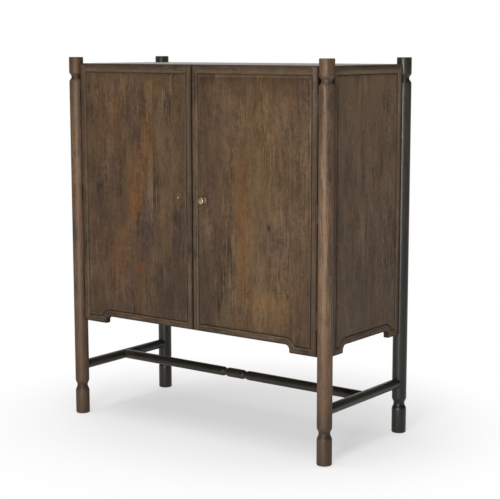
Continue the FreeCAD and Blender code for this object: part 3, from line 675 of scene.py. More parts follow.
def swept(rows, form, closed, stain=0):
    """A section carried round a frame's outline, in (across, depth, height); an open one gets both faces.
    The wear, glaze and painted shade are weaker in the upper mouldings, and some flat faces are darkened
    more."""
    upper = 60 * mm
    upper_share = 0.3
    closest = 0.001 * mm
    shape = bmesh.new()
    wear_and_shade = shape.verts.layers.float.new("wear_and_shade")
    rings = []
    for inset, depth, extra, wear_and_shade_level in rows:
        ring = [shape.verts.new((across, depth, height)) for across, height in outline(form, inset, extra)]
        for point in ring:
            rubbed = inset > bead_start - mm and point.co.z > frame_top - upper
            point[wear_and_shade] = wear_and_shade_level * (upper_share if rubbed else 1) + (stain if depth == 0 else 0)
        rings.append(ring)
    pairs = list(zip(rings, rings[1:]))
    if closed:
        pairs.append((rings[-1], rings[0]))
    else:
        shape.faces.new(rings[0])
        shape.faces.new(rings[-1][::-1])
    for near, far in pairs:
        for index in range(len(near)):
            after = (index + 1) % len(near)
            shape.faces.new((near[index], near[after], far[after], far[index]))
    bmesh.ops.remove_doubles(shape, verts=shape.verts, dist=closest)
    return shape


def sawn(shape, place, facing):
    """Saws a shape at a place across the frame, keeps the part behind the facing and closes the cut."""
    parts = shape.verts[:] + shape.edges[:] + shape.faces[:]
    bmesh.ops.bisect_plane(shape, geom=parts, plane_co=(place, 0, 0), plane_no=(facing, 0, 0),
                           clear_outer=True)
    bmesh.ops.holes_fill(shape, edges=[edge for edge in shape.edges if edge.is_boundary], sides=0)


def split(shape, places, axis):
    """Cuts a shape's faces at places along an axis, without parting it."""
    normal = [1 if index == axis else 0 for index in range(3)]
    for place in places:
        parts = shape.verts[:] + shape.edges[:] + shape.faces[:]
        point = [place * share for share in normal]
        bmesh.ops.bisect_plane(shape, geom=parts, plane_co=point, plane_no=normal)


def burnish(panel, form, depths):
    """Darkens a panel's field towards its frame, where more stain is left, by a depth for each edge."""
    steps = (0.15, 0.4, 1)
    level = 0.01 * mm
    inset = raise_inset + bevel_width
    places = ((0, 1, form["edges"][-1] + inset), (0, -1, form["edges"][1] - inset),
              (2, 1, rail_bottom + inset), (2, -1, frame_top - inset - top_extra))
    rims = [(*place, depth) for place, depth in zip(places, depths)]
    for axis, way, edge, _ in rims:
        split(panel, [edge + way * burnish_width * step for step in steps], axis)
    wear_and_shade = panel.verts.layers.float["wear_and_shade"]
    for point in panel.verts:
        if abs(point.co.y - field_sink) < level:
            shares = [depth * max(1 - way * (point.co[axis] - edge) / burnish_width, 0) ** 2
                      for axis, way, edge, depth in rims]
            point[wear_and_shade] = -max(shares)


def framed(form, joints, place, cuts, stain, rims):
    """The five shapes of a frame: two stiles, two rails and a panel with glue lines, put in their place."""
    made = {}
    middle = (frame_top + rail_bottom) / 2
    for word in ("low_stile", "high_stile", "top_rail", "apron_rail"):
        shape = swept(frame_rows, form, True, stain.get(word, 0))
        if word == "low_stile":
            sawn(shape, joints[0], 1)
        elif word == "high_stile":
            sawn(shape, joints[1], -1)
        else:
            unwanted = [point for point in shape.verts if (point.co.z > middle) != (word == "top_rail")]
            bmesh.ops.delete(shape, geom=unwanted, context="VERTS")
            sawn(shape, joints[0], -1)
            sawn(shape, joints[1], 1)
        made[word] = shape
    made["panel"] = swept(panel_rows, form, False)
    split(made["panel"], cuts, 0)
    burnish(made["panel"], form, rims)
    for shape in made.values():
        for point in shape.verts:
            point.co = place(*point.co)
    return made


def joinery(node, shape, along, across, seed, material, cuts=(), looks=None):
    """A piece of joinery from its shape: finished edges, grain of its own, and its wood."""
    piece = shaped(node + "_wood", shape)
    smooth(piece.data, sharp_board)
    lay_grain(piece.data, along, across, seed, cuts, looks)
    piece.data.materials.append(material)
    return piece


# Mango boards stained a greyish brown and rubbed back, lighter than the doors: soft streaks, paler towards
# the top.
side_marks = [((side_face, 0, 1290 * mm), 1, 330 * mm, "#715d47", 0.5),
              ((side_face, 0, 540 * mm), 1, 330 * mm, "#4d3d30", 0.5)]
side_stains = ("#2c221a", "#493b30", "#5e4b39", "#6e4d30", "#715d47", "#8b7861")
side_wood = stained_wood("stained_mango_sides", side_stains, 0.5, marks=side_marks)
side_form = {"edges": {-1: -side_edge, 1: side_edge}, "steps": {-1: -side_step, 1: side_step}}
side_joints = (-side_edge + stile_width, side_edge - stile_width)
for number, side in enumerate((-1, 1)):
    word = "left_side_" if side < 0 else "right_side_"

    def at_side(across, depth, height, side=side):
        return (side * (side_face - depth), across, height)

    shapes = framed(side_form, side_joints, at_side, side_cuts, side_face_darkening, side_burnish)
    names = {"low_stile": "front_stile", "high_stile": "rear_stile"}
    for place, (part, shape) in enumerate(shapes.items()):
        node = word + names.get(part, part)
        along, across = (1, 2) if part.endswith("rail") else (2, 1)
        cuts, looks = (side_cuts, side_looks) if part == "panel" else ([], [side_frame_look])
        piece = joinery(node, shape, along, across, 40 + 10 * number + place, side_wood, cuts, looks)
        stand_for(piece, "cabinet", "door_wood", node)


# Top and bottom boards
# Two boards close the carcass, notched round the posts and dowelled to the side rails.
# They are glued up from long boards with the grain from side to side, and their edges are just eased.

notch_room = 0.3 * mm
notch_radius = post_radius + notch_room
board_ease = 1 * mm
overrun = 10 * mm


def eased_board(low, high, ease):
    """A box with rounded edges, as a shape."""
    shape = box_shape(low, high)
    bmesh.ops.bevel(shape, geom=shape.edges[:], offset=ease, segments=3, profile=0.5, affect="EDGES")
    return shape


def glue_lines(shape, across, low, high, chance):
    """Cuts a shape's faces along the glue lines of its boards, and gives their places."""
    first_width = (55 * mm, 110 * mm)
    next_width = (70 * mm, 130 * mm)
    least_width = 50 * mm
    cuts = []
    cut = low + chance.uniform(*first_width)
    while cut < high - least_width:
        cuts.append(cut)
        cut += chance.uniform(*next_width)
    split(shape, cuts, across)
    return cuts


def glued_board(node, low, high, ease, along, across, seed, material):
    """A glued-up board with eased edges, as a finished piece."""
    shape = eased_board(low, high, ease)
    cuts = glue_lines(shape, across, low[across], high[across], random.Random(seed))
    return joinery(node, shape, along, across, seed, material, cuts)


# The same stain inside, thinner and without wax: duller and a little lighter.
inner_stains = ("#261d17", "#403129", "#523f2e", "#5f4129", "#644f3b", "#7d6c58")
inner_wood = stained_wood("stained_mango_inside", inner_stains, 0.58, gloss=0.12, coat=0)
# The top is stained walnut brown and waxed, so it mirrors what stands behind it in a soft sheen.
walnut_stains = ("#221a14", "#3a2d27", "#493828", "#593f25", "#5a4935", "#74644f")
top_wood = stained_wood("stained_mango_top", walnut_stains, 0.34, gloss=0.3, coat=0)
for number, (node, slot, wood) in enumerate((("top_board", "door_wood", top_wood),
                                             ("bottom_board", "interior_wood", inner_wood))):
    low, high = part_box(node)
    piece = glued_board(node, low, high, board_ease, 0, 1, 61 + number, wood)
    notch = [(notch_radius, low.z - overrun), (notch_radius, high.z + overrun)]
    cut_away(piece, [turned("notch", notch, (x, y, 0), (0, 0, 1), post_sides, wood)
                     for x in (-post_x, post_x) for y in (-post_y, post_y)])
    piece.data.set_sharp_from_angle(angle=math.radians(sharp_board))
    stand_for(piece, "cabinet", slot, node)


# Carcass dowels
# Turned beech dowels hold both boards to the side rails. They are glued in and hidden once it is assembled.

# Plain beech: pale, with fine short flecks along the dowel.
fleck_width = 0.8 * mm
fleck_length = 6 * mm
fleck_scale = (1 / fleck_length, 1 / fleck_width, 1 / fleck_width)
dark_beech = linear("#a9835b")
pale_beech = linear("#cfae85")
beech, tree, shader = new_material("turned_beech")
where = add(tree, "ShaderNodeTexCoord", {}, "Object")
scaled = add(tree, "ShaderNodeMapping", {"Vector": where, "Scale": fleck_scale})
fleck = add(tree, "ShaderNodeTexNoise", {"Vector": scaled, "Scale": 1, "Detail": 2}, "Fac")
mixed = add(tree, "ShaderNodeMix", {"Factor": fleck, 6: dark_beech, 7: pale_beech}, 2, data_type="RGBA")
bump = add(tree, "ShaderNodeBump", {"Height": fleck, "Strength": 0.1, "Distance": 0.1 * mm})
fill(tree, shader, {"Base Color": mixed, "Roughness": 0.6, "Normal": bump})


def finish_node(node, material):
    """Gives a CAD node that stays its material."""
    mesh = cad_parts[node].data
    mesh.materials.clear()
    mesh.materials.append(material)


finish_node("carcass_dowels", beech)


# Back panel and its screws
# A thin glued-up panel slides down between the rear posts and is screwed to the rear edges of both boards.
# The screws are countersunk zinc-plated wood screws with a cross recess.

low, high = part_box("back_panel")
back_panel_ease = 0.8 * mm
back = glued_board("back_panel", low, high, back_panel_ease, 2, 0, 71, inner_wood)
stand_for(back, "cabinet", "interior_wood", "back_panel")


def metal(name, dark, light, roughness, scratch_width, scratch_length, bare=1):
    """Plated, rubbed or patinated metal: a drifting tone with fine scratches in its gloss."""
    cloud_size = 9 * mm
    scratch_scale = (1 / scratch_width, 1 / scratch_width, 1 / scratch_length)
    material, tree, shader = new_material(name)
    where = add(tree, "ShaderNodeTexCoord", {}, "Object")
    cloud = add(tree, "ShaderNodeTexNoise", {"Vector": where, "Scale": 1 / cloud_size, "Detail": 4}, "Fac")
    scaled = add(tree, "ShaderNodeMapping", {"Vector": where, "Scale": scratch_scale})
    scratch = add(tree, "ShaderNodeTexNoise", {"Vector": scaled, "Scale": 1, "Detail": 2}, "Fac")
    drift = add(tree, "ShaderNodeMapRange", {"Value": cloud, "From Min": 0.3, "From Max": 0.7})
    mixed = add(tree, "ShaderNodeMix", {"Factor": drift, 6: linear(dark), 7: linear(light)}, 2,
                data_type="RGBA")
    dull = add(tree, "ShaderNodeMapRange", {"Value": scratch, "From Min": 0.3, "From Max": 0.7,
                                            "To Min": roughness - 0.08, "To Max": roughness + 0.1})
    bump = add(tree, "ShaderNodeBump", {"Height": scratch, "Strength": 0.1, "Distance": 0.05 * mm})
    fill(tree, shader, {"Base Color": mixed, "Roughness": dull, "Normal": bump, "Metallic": bare})
    return material


# One tree makes every screw: a countersunk head, just proud, with a cross recess, and a plain shank.
screwing, given = new_tree("countersunk screws", ("Head Radius", "Head Depth", "Shank Radius", "Length"))
proud = 0.2 * mm
point_radius = 0.2 * mm
rim_share = 0.9
rim = add(screwing, "ShaderNodeMath", (given["Head Radius"], rim_share), operation="MULTIPLY")
screw_rows = ((-proud, rim), (0, given["Head Radius"]), (given["Head Depth"], given["Shank Radius"]),
              (given["Length"], point_radius))
screw_skin = round_rows(screwing, screw_rows)
arm_shares = (("Head Radius", 1.25), ("Head Radius", 0.28), ("Head Depth", 0.9))
long, short, deep = [add(screwing, "ShaderNodeMath", (given[size], share), operation="MULTIPLY")
                     for size, share in arm_shares]
arms = []
for long_axis, short_axis in ("XY", "YX"):
    arm_size = add(screwing, "ShaderNodeCombineXYZ", {long_axis: long, short_axis: short, "Z": deep})
    arms.append(add(screwing, "GeometryNodeMeshCube", {"Size": arm_size}))
recessed = add(screwing, "GeometryNodeMeshBoolean", {"Mesh 1": screw_skin, "Mesh 2": arms[0]},
               operation="DIFFERENCE", solver="EXACT")
screwing.links.new(arms[1], recessed.node.inputs["Mesh 2"])
set_on_points(screwing, recessed, given)

wood_screw = {"Head Radius": 3.6 * mm, "Head Depth": 3 * mm, "Shank Radius": 1.8 * mm}
back_screw = {**wood_screw, "Length": 32 * mm}
# Zinc-plated steel: bright grey with a slight drift of tone and turned marks.
zinc = metal("zinc_plated_steel", "#8d8f90", "#b9babb", 0.35, 0.4 * mm, 0.4 * mm)
back_rear = high.y
screw_x = [-494 * mm, -247 * mm, 0, 247 * mm, 494 * mm]
screw_z = [(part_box(node)[0].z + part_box(node)[1].z) / 2 for node in ("top_board", "bottom_board")]
places = [((x, back_rear, z), (0, -1, 0)) for x in screw_x for z in screw_z]
planted("back_screws", "steel", places, screwing, back_screw, zinc, "cabinet", "screw_steel")


# Divider, shelves and shelf pins
# An upright divider parts the inside, with one shelf on the left and two on the right.
# The shelves are glued-up boards with rounded long edges, lying loose on nickel-plated steel pins.

low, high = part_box("centre_divider")
divider_ease = 1.5 * mm
divider = glued_board("centre_divider", low, high, divider_ease, 2, 1, 81, inner_wood)
stand_for(divider, "cabinet", "interior_wood", "centre_divider")
shelf_sides = {"left_shelf": -1, "right_upper_shelf": 1, "right_lower_shelf": 1}
shelf_ease = 2 * mm
pin_radius = 2.5 * mm
pin_length = 16 * mm
pin_ease = 0.5 * mm
pin_y = 216.5 * mm
pin_places = []
divider_half = high.x
side_inner = side_face - frame_thickness
for number, (node, side) in enumerate(shelf_sides.items()):
    low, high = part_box(node)
    shelf = glued_board(node, low, high, shelf_ease, 0, 1, 82 + number, inner_wood)
    stand_for(shelf, "cabinet", "interior_wood", node)
    for y in (-pin_y, pin_y):
        for x in (side_inner - pin_length / 2, divider_half - pin_length / 2):
            start = x if side > 0 else -x - pin_length
            pin_places.append(((start, y, low.z - pin_radius), (1, 0, 0)))
# Nickel-plated steel: a warm bright grey.
nickel = metal("nickel_plated_steel", "#a5a29c", "#c9c5bd", 0.28, 0.3 * mm, 0.3 * mm)
pin = {"Radius": pin_radius, "Length": pin_length, "Ease": pin_ease}
planted("shelf_pins", "steel", pin_places, pegs, pin, nickel, "cabinet", "pin_steel")


# Stemware rails
# Five T-shaped wooden rails under the top hold glasses by their feet, in four slots between them.
# Each is planed with eased corners and screwed up through its flange into the top.

rail_low, rail_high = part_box("stemware_rails")
web_width = 22 * mm
flange_width = 76 * mm
flange_thickness = 9 * mm
rail_ease = 1.2 * mm
rail_count = 5
rail_screw = {**wood_screw, "Length": 42 * mm}
rail_screw_inset = 60 * mm
rail_pitch = (rail_high.x - rail_low.x - flange_width) / (rail_count - 1)
rail = {"Web Width": web_width, "Web Height": rail_high.z - rail_low.z - flange_thickness,
        "Flange Width": flange_width, "Flange Thickness": flange_thickness,
        "Length": rail_high.y - rail_low.y, "Ease": rail_ease}
railing, given = new_tree("stemware rails", tuple(rail))
rail_end = add(railing, "ShaderNodeCombineXYZ", {"Y": given["Length"]})
rail_line = add(railing, "GeometryNodeCurvePrimitiveLine", {"End": rail_end})
strips = []
for width, height in (("Flange Width", "Flange Thickness"), ("Web Width", "Web Height")):
    section = add(railing, "GeometryNodeCurvePrimitiveQuadrilateral",
                  {"Width": given[width], "Height": given[height]})
    eased = add(railing, "GeometryNodeFilletCurve", {"Curve": section, "Count": 3, "Radius": given["Ease"]},
                mode="POLY")
    strips.append(add(railing, "GeometryNodeCurveToMesh",
                      {"Curve": rail_line, "Profile Curve": eased, "Fill Caps": True}))
heights = add(railing, "ShaderNodeMath", (given["Web Height"], given["Flange Thickness"]),
              operation="ADD")
web_lift = add(railing, "ShaderNodeMath", (heights, 0.5), operation="MULTIPLY")
web_place = add(railing, "ShaderNodeCombineXYZ", {"Z": web_lift})
web = add(railing, "GeometryNodeTransform", {"Geometry": strips[1], "Translation": web_place})
joined = add(railing, "GeometryNodeJoinGeometry", (strips[0],))
railing.links.new(web, joined.node.inputs[0])
rail_set = add(railing, "GeometryNodeInstanceOnPoints", {"Points": given["Geometry"], "Instance": joined})
close_tree(railing, rail_set, given)
rail_x = [rail_low.x + flange_width / 2 + rail_pitch * index for index in range(rail_count)]
rail_starts = bpy.data.meshes.new("rail_places")
rail_starts.from_pydata([(x, rail_low.y, rail_low.z + flange_thickness / 2) for x in rail_x], [], [])
rails = grown("stemware_rails_wood", rail_starts, railing, {**rail, "Material": inner_wood})
smooth(rails.data, sharp_board)
rail_gaps = [(first + second) / 2 for first, second in zip(rail_x, rail_x[1:])]
lay_grain(rails.data, 1, 0, 91, rail_gaps)
stand_for(rails, "cabinet", "interior_wood", "stemware_rails")
screw_y = rail_high.y - rail_screw_inset
places = [((x, y, rail_low.z), (0, 0, 1)) for x in rail_x for y in (-screw_y, screw_y)]
planted("stemware_screws", "steel", places, screwing, rail_screw, zinc, "cabinet", "screw_steel")


# Bottle cradles
# Two notched boards on the bottom hold five lying bottles, by the neck in front and by the body behind.
# They are bored and sawn from solid boards, and all their edges are eased.

bottle_lift = 60 * mm
bottle_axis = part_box("bottom_board")[1].z + bottle_lift
bottle_count = 5
notches = {"front_bottle_cradle": 17 * mm, "rear_bottle_cradle": 42 * mm}
notch_steps = 24
cradle_ease = 1.2 * mm
for number, (node, notch) in enumerate(notches.items()):
    low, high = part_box(node)
    pitch = (high.x - low.x) / bottle_count
    lean = math.asin((high.z - bottle_axis) / notch)
    line = [(low.x, low.z), (high.x, low.z), (high.x, high.z)]
    for index in reversed(range(bottle_count)):
        middle = low.x + pitch * (index + 0.5)
        line += arc(middle, bottle_axis, notch, lean, -math.pi - lean, notch_steps)
    line.append((low.x, high.z))
    shape = bmesh.new()
    faces = []
    for y in (low.y, high.y):
        faces.append(shape.faces.new([shape.verts.new((x, y, z)) for x, z in line]))
    front, rear = [face.verts for face in faces]
    for index in range(len(line)):
        after = (index + 1) % len(line)
        shape.faces.new((front[index], front[after], rear[after], rear[index]))
    rims = [edge for edge in shape.edges if abs(edge.verts[0].co.y - edge.verts[1].co.y) < mm]
    bmesh.ops.bevel(shape, geom=rims, offset=cradle_ease, segments=3, profile=0.5, affect="EDGES")
    cradle = joinery(node, shape, 0, 2, 95 + number, inner_wood)
    stand_for(cradle, "cabinet", "interior_wood", node)


# Doors
# Two doors fill the front between the posts, framed and panelled like the sides, with a shaped apron below.
# Stiles and rails are tenoned round a panel of five upright boards; a narrow seam parts the doors.

door_low, door_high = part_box("right_door_hinge_stile")
door_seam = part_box("right_door_meeting_stile")[0].x
door_front = door_low.y
door_ear = 134 * mm
door_step = door_high.x - door_ear
door_form = {"edges": {-1: door_seam, 1: door_high.x}, "steps": {-1: None, 1: door_step}}
door_joints = (door_seam + stile_width, door_high.x - stile_width)
door_cuts = {"left_door": [95 * mm, 185 * mm, 317 * mm, 415 * mm],
             "right_door": [105 * mm, 195 * mm, 275 * mm, 429 * mm]}
door_looks = {"left_door": [(0.45, 0.25), (0.6, 0.3), (0.5, 0.55), (0.45, 0.6), (0.5, 0.5)],
              "right_door": [(0.4, 0.35), (0.55, 0.4), (0.6, 0.75), (0.65, 0.5), (0.5, 0.3)]}
door_frame_look = (0.45, 0.3)
# The doors' top rails have darker faces.
door_face_darkening = {"top_rail": -0.25}
door_burnish = {"left_door": (0.15, 0.1, 0.3, 0), "right_door": (0.2, 0.1, 0.1, 0.5)}
# Mango boards stained walnut brown and rubbed back: boards of different tone, with warm and dark patches,
# a black knot on the right and a small dark spot with a pale dot on the left. Places and half sizes are in
# millimetres.
door_marks = []
for x, z, width, height, hue, most in (
        (315, 995, 115, 345, "#58452b", 0.55), (230, 815, 35, 270, "#5e4125", 0.5),
        (105, 630, 80, 180, "#33291f", 0.6), (350, 760, 55, 70, "#43362f", 0.5),
        (335, 535, 115, 70, "#634a2e", 0.6), (145, 1135, 55, 175, "#594733", 0.4),
        (-250, 1010, 55, 100, "#5d4024", 0.6), (-275, 885, 40, 85, "#623f22", 0.6),
        (-265, 620, 35, 30, "#5f3d22", 0.5), (-365, 625, 40, 115, "#573a25", 0.5),
        (-215, 750, 45, 115, "#30282a", 0.6), (-110, 535, 95, 115, "#2b231e", 0.6),
        (-185, 1295, 60, 45, "#5c4529", 0.5), (-460, 1050, 40, 190, "#553f27", 0.45),
        (345, 814, 14, 24, "#2b2019", 0.5), (345, 814, 7, 11, "#120c09", 0.95),
        (-58, 884, 10, 12, "#271d17", 0.7), (-66, 893, 6, 5, "#8d7e6b", 0.8)):
    door_marks.append(((x * mm, 0, z * mm), width * mm, height * mm, hue, most))
door_wood = stained_wood("stained_mango_doors", walnut_stains, 0.46, coat=0, marks=door_marks)
# Straight-grained stock with a greyer stain for the door frames.
frame_stains = ("#221b15", "#3a2f27", "#4a3b2d", "#543f2a", "#594a38", "#6e5f4c")
frame_wood = stained_wood("stained_mango_frames", frame_stains, 0.5, coat=0)
for number, side in enumerate((-1, 1)):
    body = "left_door" if side < 0 else "right_door"

    def at_door(across, depth, height, side=side):
        return (side * across, door_front + depth, height)

    shapes = framed(door_form, door_joints, at_door, door_cuts[body], door_face_darkening, door_burnish[body])
    names = {"low_stile": "meeting_stile", "high_stile": "hinge_stile"}
    for place, (part, shape) in enumerate(shapes.items()):
        node = body + "_" + names.get(part, part)
        along, across = (0, 2) if part.endswith("rail") else (2, 0)
        wood, cuts, looks = frame_wood, [], [door_frame_look]
        if part == "panel":
            wood, cuts, looks = door_wood, [side * cut for cut in door_cuts[body]], door_looks[body]
        seed = 110 + 10 * number + place
        piece = joinery(node, shape, along, across, seed, wood, cuts[::side], looks[::side])
        stand_for(piece, body, "door_wood", node)


# Butt hinges
# Three small butt hinges hang each door, with five knuckles on a loose pin, let in flush and screwed on.
# They are pressed from brass sheet and darkened with a patina.

# Brass under a brown patina that covers most of the metal: dull, and about as dark as the wood.
bronze = metal("patinated_brass", "#342a20", "#45382b", 0.6, 0.5 * mm, 4 * mm, 0.4)
for node in ("frame_leaves", "hinge_pins", "left_door_leaves", "right_door_leaves"):
    finish_node(node, bronze)
leaf_thickness = 1.2 * mm
leaf_gap = 0.7 * mm
frame_head_x = post_x - hinge_flat - leaf_thickness
door_head_x = frame_head_x - leaf_gap
hinge_screw_y = -post_y
spread = 18 * mm
small_screw = {"Head Radius": 2.4 * mm, "Head Depth": 1 * mm, "Shank Radius": 1.2 * mm}
leaf_screw = {**small_screw, "Length": 13 * mm}
screw_heights = [height + rise for height in hinge_heights for rise in (-spread, spread)]
for side, body in ((-1, "left_door"), (1, "right_door")):
    places = [((side * door_head_x, hinge_screw_y, height), (-side, 0, 0)) for height in screw_heights]
    planted(body + "_leaf_screws", "brass", places, screwing, leaf_screw, bronze, body, "hinge_bronze")
places = [((side * frame_head_x, hinge_screw_y, height), (side, 0, 0))
          for side in (-1, 1) for height in screw_heights]
planted("frame_leaf_screws", "brass", places, screwing, leaf_screw, bronze, "cabinet", "hinge_bronze")


# Magnetic catches, strike plates and bumpers
# A moulded magnetic catch under the top holds each door by a steel strike plate screwed to its top rail.
# Soft rubber bumpers on the board edges keep the doors from knocking.

# Brown moulded plastic with a fine dull grain.
catch_plastic = moulded("moulded_brown_plastic", "#33261e", 0.5, 0.05)
# Bare steel, rolled: grey with faint lines.
steel = metal("rolled_steel", "#7d7d7b", "#a6a6a3", 0.38, 0.3 * mm, 6 * mm)
low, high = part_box("magnetic_catches")
catch_length = 30 * mm
catch_ease = 1.5 * mm
pole_thickness = 1.6 * mm
pole_gap = 6 * mm
pole_inset = 3 * mm
pole_ease = 0.3 * mm
pole_depth = 20 * mm
pole_proud = 1 * mm
catch_screw = {**wood_screw, "Length": 20 * mm}
strike_screw = {**small_screw, "Length": 5.5 * mm}
shape = bmesh.new()
for side in (-1, 1):
    ends = sorted((side * high.x, side * (high.x - catch_length)))
    middle = (low.z + high.z) / 2
    parts = [eased_board((ends[0], low.y + pole_proud, low.z), (ends[1], high.y, high.z), catch_ease)]
    for pole in (middle - pole_gap / 2, middle + pole_gap / 2):
        pole_low = (ends[0] + pole_inset, low.y, pole - pole_thickness / 2)
        pole_high = (ends[1] - pole_inset, low.y + pole_depth, pole + pole_thickness / 2)
        parts.append(eased_board(pole_low, pole_high, pole_ease))
    for index, part in enumerate(parts):
        for face in part.faces:
            face.material_index = min(index, 1)
        carried = bpy.data.meshes.new("part")
        part.to_mesh(carried)
        part.free()
        shape.from_mesh(carried)
        bpy.data.meshes.remove(carried)
catches = shaped("magnetic_catches_plastic", shape)
smooth(catches.data, sharp_board)
catches.data.materials.append(catch_plastic)
catches.data.materials.append(steel)
stand_for(catches, "cabinet", "catch_plastic", "magnetic_catches")
catch_x = high.x - catch_length / 2
catch_spread = 9 * mm
places = [((side * catch_x + x, (low.y + high.y) / 2, low.z), (0, 0, 1))
          for side in (-1, 1) for x in (-catch_spread, catch_spread)]
planted("catch_screws", "steel", places, screwing, catch_screw, zinc, "cabinet", "screw_steel")
for side, body, word in ((-1, "left_door", "left"), (1, "right_door", "right")):
    finish_node(word + "_strike_plate", steel)
    plate_low, plate_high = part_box(word + "_strike_plate")
    middle = (plate_low + plate_high) / 2
    places = [((middle.x, plate_high.y, middle.z), (0, -1, 0))]
    planted(word + "_strike_screw", "steel", places, screwing, strike_screw, zinc, body, "screw_steel")

# Clear soft rubber gone milky: pale and dull.
rubber = moulded("milky_rubber", "#a9a59b", 0.6, 0.1)
low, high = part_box("door_bumpers")
bumper_radius = 4 * mm
bumper = {"Radius": bumper_radius, "Length": high.y - low.y, "Ease": 0.7 * mm}
places = [((x, high.y, z), (0, -1, 0)) for x in (low.x + bumper_radius, high.x - bumper_radius)
          for z in (low.z + bumper_radius, high.z - bumper_radius)]
planted("door_bumpers", "rubber", places, pegs, bumper, rubber, "cabinet", "bumper_rubber")


# Knob
# One small turned brass knob on a round rosette opens the right door; the left one is opened from inside.
# It is turned from bar, aged and rubbed, and held by a screw from behind.

rose_low, rose_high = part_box("knob_rosette")
knob_low, knob_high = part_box("knob")
knob_x = (knob_low.x + knob_high.x) / 2
knob_z = (knob_low.z + knob_high.z) / 2
knob_seat = (knob_x, rose_high.y, knob_z)
rose_radius = (rose_high.x - rose_low.x) / 2
rose_thickness = rose_high.y - rose_low.y
rose_round = 1.2 * mm
head_radius = (knob_high.x - knob_low.x) / 2
knob_length = rose_high.y - knob_low.y
knob_neck = 5.5 * mm
flare = 12 * mm
head_edge = 4 * mm
rose_sides = 48
rose_steps = 5
knob_sides = 56
knob_steps = 8
to_front = (0, -1, 0)


def sway(start, end, steps):
    """Two equal arcs that leave one radius and reach another along the axis."""
    fall = end[0] - start[0]
    length = end[1] - start[1]
    bend = (length ** 2 + fall ** 2) / (4 * fall)
    lean = math.asin(length / 2 / bend)
    first = arc(start[0] + bend, start[1], bend, math.pi, math.pi - lean, steps)
    second = arc(end[0] - bend, end[1], bend, -lean, 0, steps)
    return first + second[1:]


# Aged brass, brushed and lightly lacquered: a pale brown metal with a soft bright rim.
brass = metal("aged_brass", "#95816d", "#c3ad95", 0.34, 0.25 * mm, 0.25 * mm)
rose_pattern = [(rose_radius, 0)]
rose_pattern += arc(rose_radius - rose_round, rose_thickness - rose_round, rose_round, 0, quarter, rose_steps)
rosette = turned("knob_rosette_brass", rose_pattern, knob_seat, to_front, rose_sides, brass)
stand_for(rosette, "right_door", "knob_brass", "knob_rosette")
knob_pattern = [(knob_neck, rose_thickness * 0.5)]
knob_pattern += sway((knob_neck, rose_thickness), (head_radius, rose_thickness + flare), knob_steps)
knob_pattern += arc(head_radius - head_edge, knob_length - head_edge, head_edge, 0, quarter, knob_steps)
knob = turned("knob_brass", knob_pattern, knob_seat, to_front, knob_sides, brass)
stand_for(knob, "right_door", "knob_brass", "knob")
finish_node("knob_screw", zinc)


# Floor, light and camera
# A plain pale floor without an edge, a soft lamp in front on the right, and a broad one above.

floor_half = 40
shape = bmesh.new()
bmesh.ops.create_grid(shape, x_segments=8, y_segments=8, size=floor_half)
floor = shaped("floor", shape)
# Matt white paper: it takes the shadow near the object and fades to white further away.
near = 0.4
far = 1.2
paper, tree, _ = new_material("white_paper")
tree.nodes.clear()
where = add(tree, "ShaderNodeTexCoord", {}, "Object")
away = add(tree, "ShaderNodeVectorMath", (where,), "Value", operation="LENGTH")
fade = add(tree, "ShaderNodeMapRange", {"Value": away, "From Min": near, "From Max": far, "To Min": 0.5},
           interpolation_type="SMOOTHSTEP")
rays = tree.nodes.new("ShaderNodeLightPath").outputs
seen = add(tree, "ShaderNodeMath", (rays["Is Camera Ray"], rays["Is Transmission Ray"]), operation="ADD")
seen = add(tree, "ShaderNodeMath", (rays["Is Glossy Ray"], 0.5, seen), operation="MULTIPLY_ADD")
share = add(tree, "ShaderNodeMath", (fade, seen), operation="MULTIPLY")
matt = add(tree, "ShaderNodeBsdfDiffuse", {"Color": linear("#f4f4f4")})
glow = add(tree, "ShaderNodeEmission", {"Color": linear("#ffffff"), "Strength": 1})
both = add(tree, "ShaderNodeMixShader", (share, matt, glow))
add(tree, "ShaderNodeOutputMaterial", {"Surface": both})
floor.data.materials.append(paper)

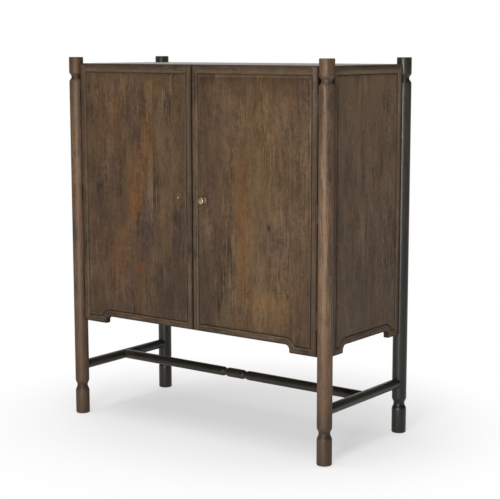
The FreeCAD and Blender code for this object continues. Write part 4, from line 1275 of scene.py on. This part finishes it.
# The room is seen as white. Glossy pieces mirror a white backdrop behind them and a dim room elsewhere.
ambient = 0.26
dim_room = 0.06
backdrop_way = (-0.6, 0.8, 0)
world = bpy.data.worlds.new("studio")
bpy.context.scene.world = world
world.use_nodes = True
tree = world.node_tree
tree.nodes.clear()
rays = tree.nodes.new("ShaderNodeLightPath").outputs
facing = add(tree, "ShaderNodeTexCoord", {}, "Generated")
behind = add(tree, "ShaderNodeVectorMath", (facing, backdrop_way), "Value", operation="DOT_PRODUCT")
backdrop = add(tree, "ShaderNodeMapRange", {"Value": behind, "From Min": 0.55, "From Max": 0.9})
mirrored = add(tree, "ShaderNodeMapRange", {"Value": backdrop, "To Min": dim_room})
level = add(tree, "ShaderNodeMix", {0: rays["Is Glossy Ray"], 2: ambient, 3: mirrored})
seen = add(tree, "ShaderNodeMath", (rays["Is Camera Ray"], rays["Is Transmission Ray"]), operation="ADD")
level = add(tree, "ShaderNodeMix", {0: seen, 2: level, 3: 1})
sky = add(tree, "ShaderNodeBackground", {"Color": linear("#ffffff"), "Strength": level})
add(tree, "ShaderNodeOutputWorld", {"Surface": sky})


def soft_lamp(name, place, aim, width, height, power):
    lamp = bpy.data.lights.new(name, "AREA")
    lamp.shape = "RECTANGLE"
    lamp.size = width
    lamp.size_y = height
    lamp.energy = power
    holder = bpy.data.objects.new(name, lamp)
    bpy.context.scene.collection.objects.link(holder)
    holder.location = place
    holder.rotation_euler = (Vector(aim) - Vector(place)).to_track_quat("-Z", "Y").to_euler()


soft_lamp("key_lamp", place=(1.6, -4.5, 1.05), aim=(0, 0, 0.7), width=1.2, height=2, power=180)
soft_lamp("top_lamp", place=(0, -0.8, 4.4), aim=(0, 0, 0), width=3.4, height=3.4, power=120)

camera_place = Vector((3.0674, -4.0193, 1.442))
camera_yaw = math.radians(36.753)
camera_pitch = math.radians(8.617)
camera_roll = math.radians(-0.067)
camera_lens = 96.85
camera_data = bpy.data.cameras.new("camera")
camera_data.lens = camera_lens
camera_data.sensor_width = 36
camera = bpy.data.objects.new("camera", camera_data)
bpy.context.scene.collection.objects.link(camera)
turn = Matrix.Rotation(camera_yaw, 4, "Z") @ Matrix.Rotation(quarter - camera_pitch, 4, "X")
camera.matrix_world = Matrix.Translation(camera_place) @ turn @ Matrix.Rotation(camera_roll, 4, "Z")
bpy.context.scene.camera = camera
bpy.context.scene.view_settings.view_transform = "Standard"
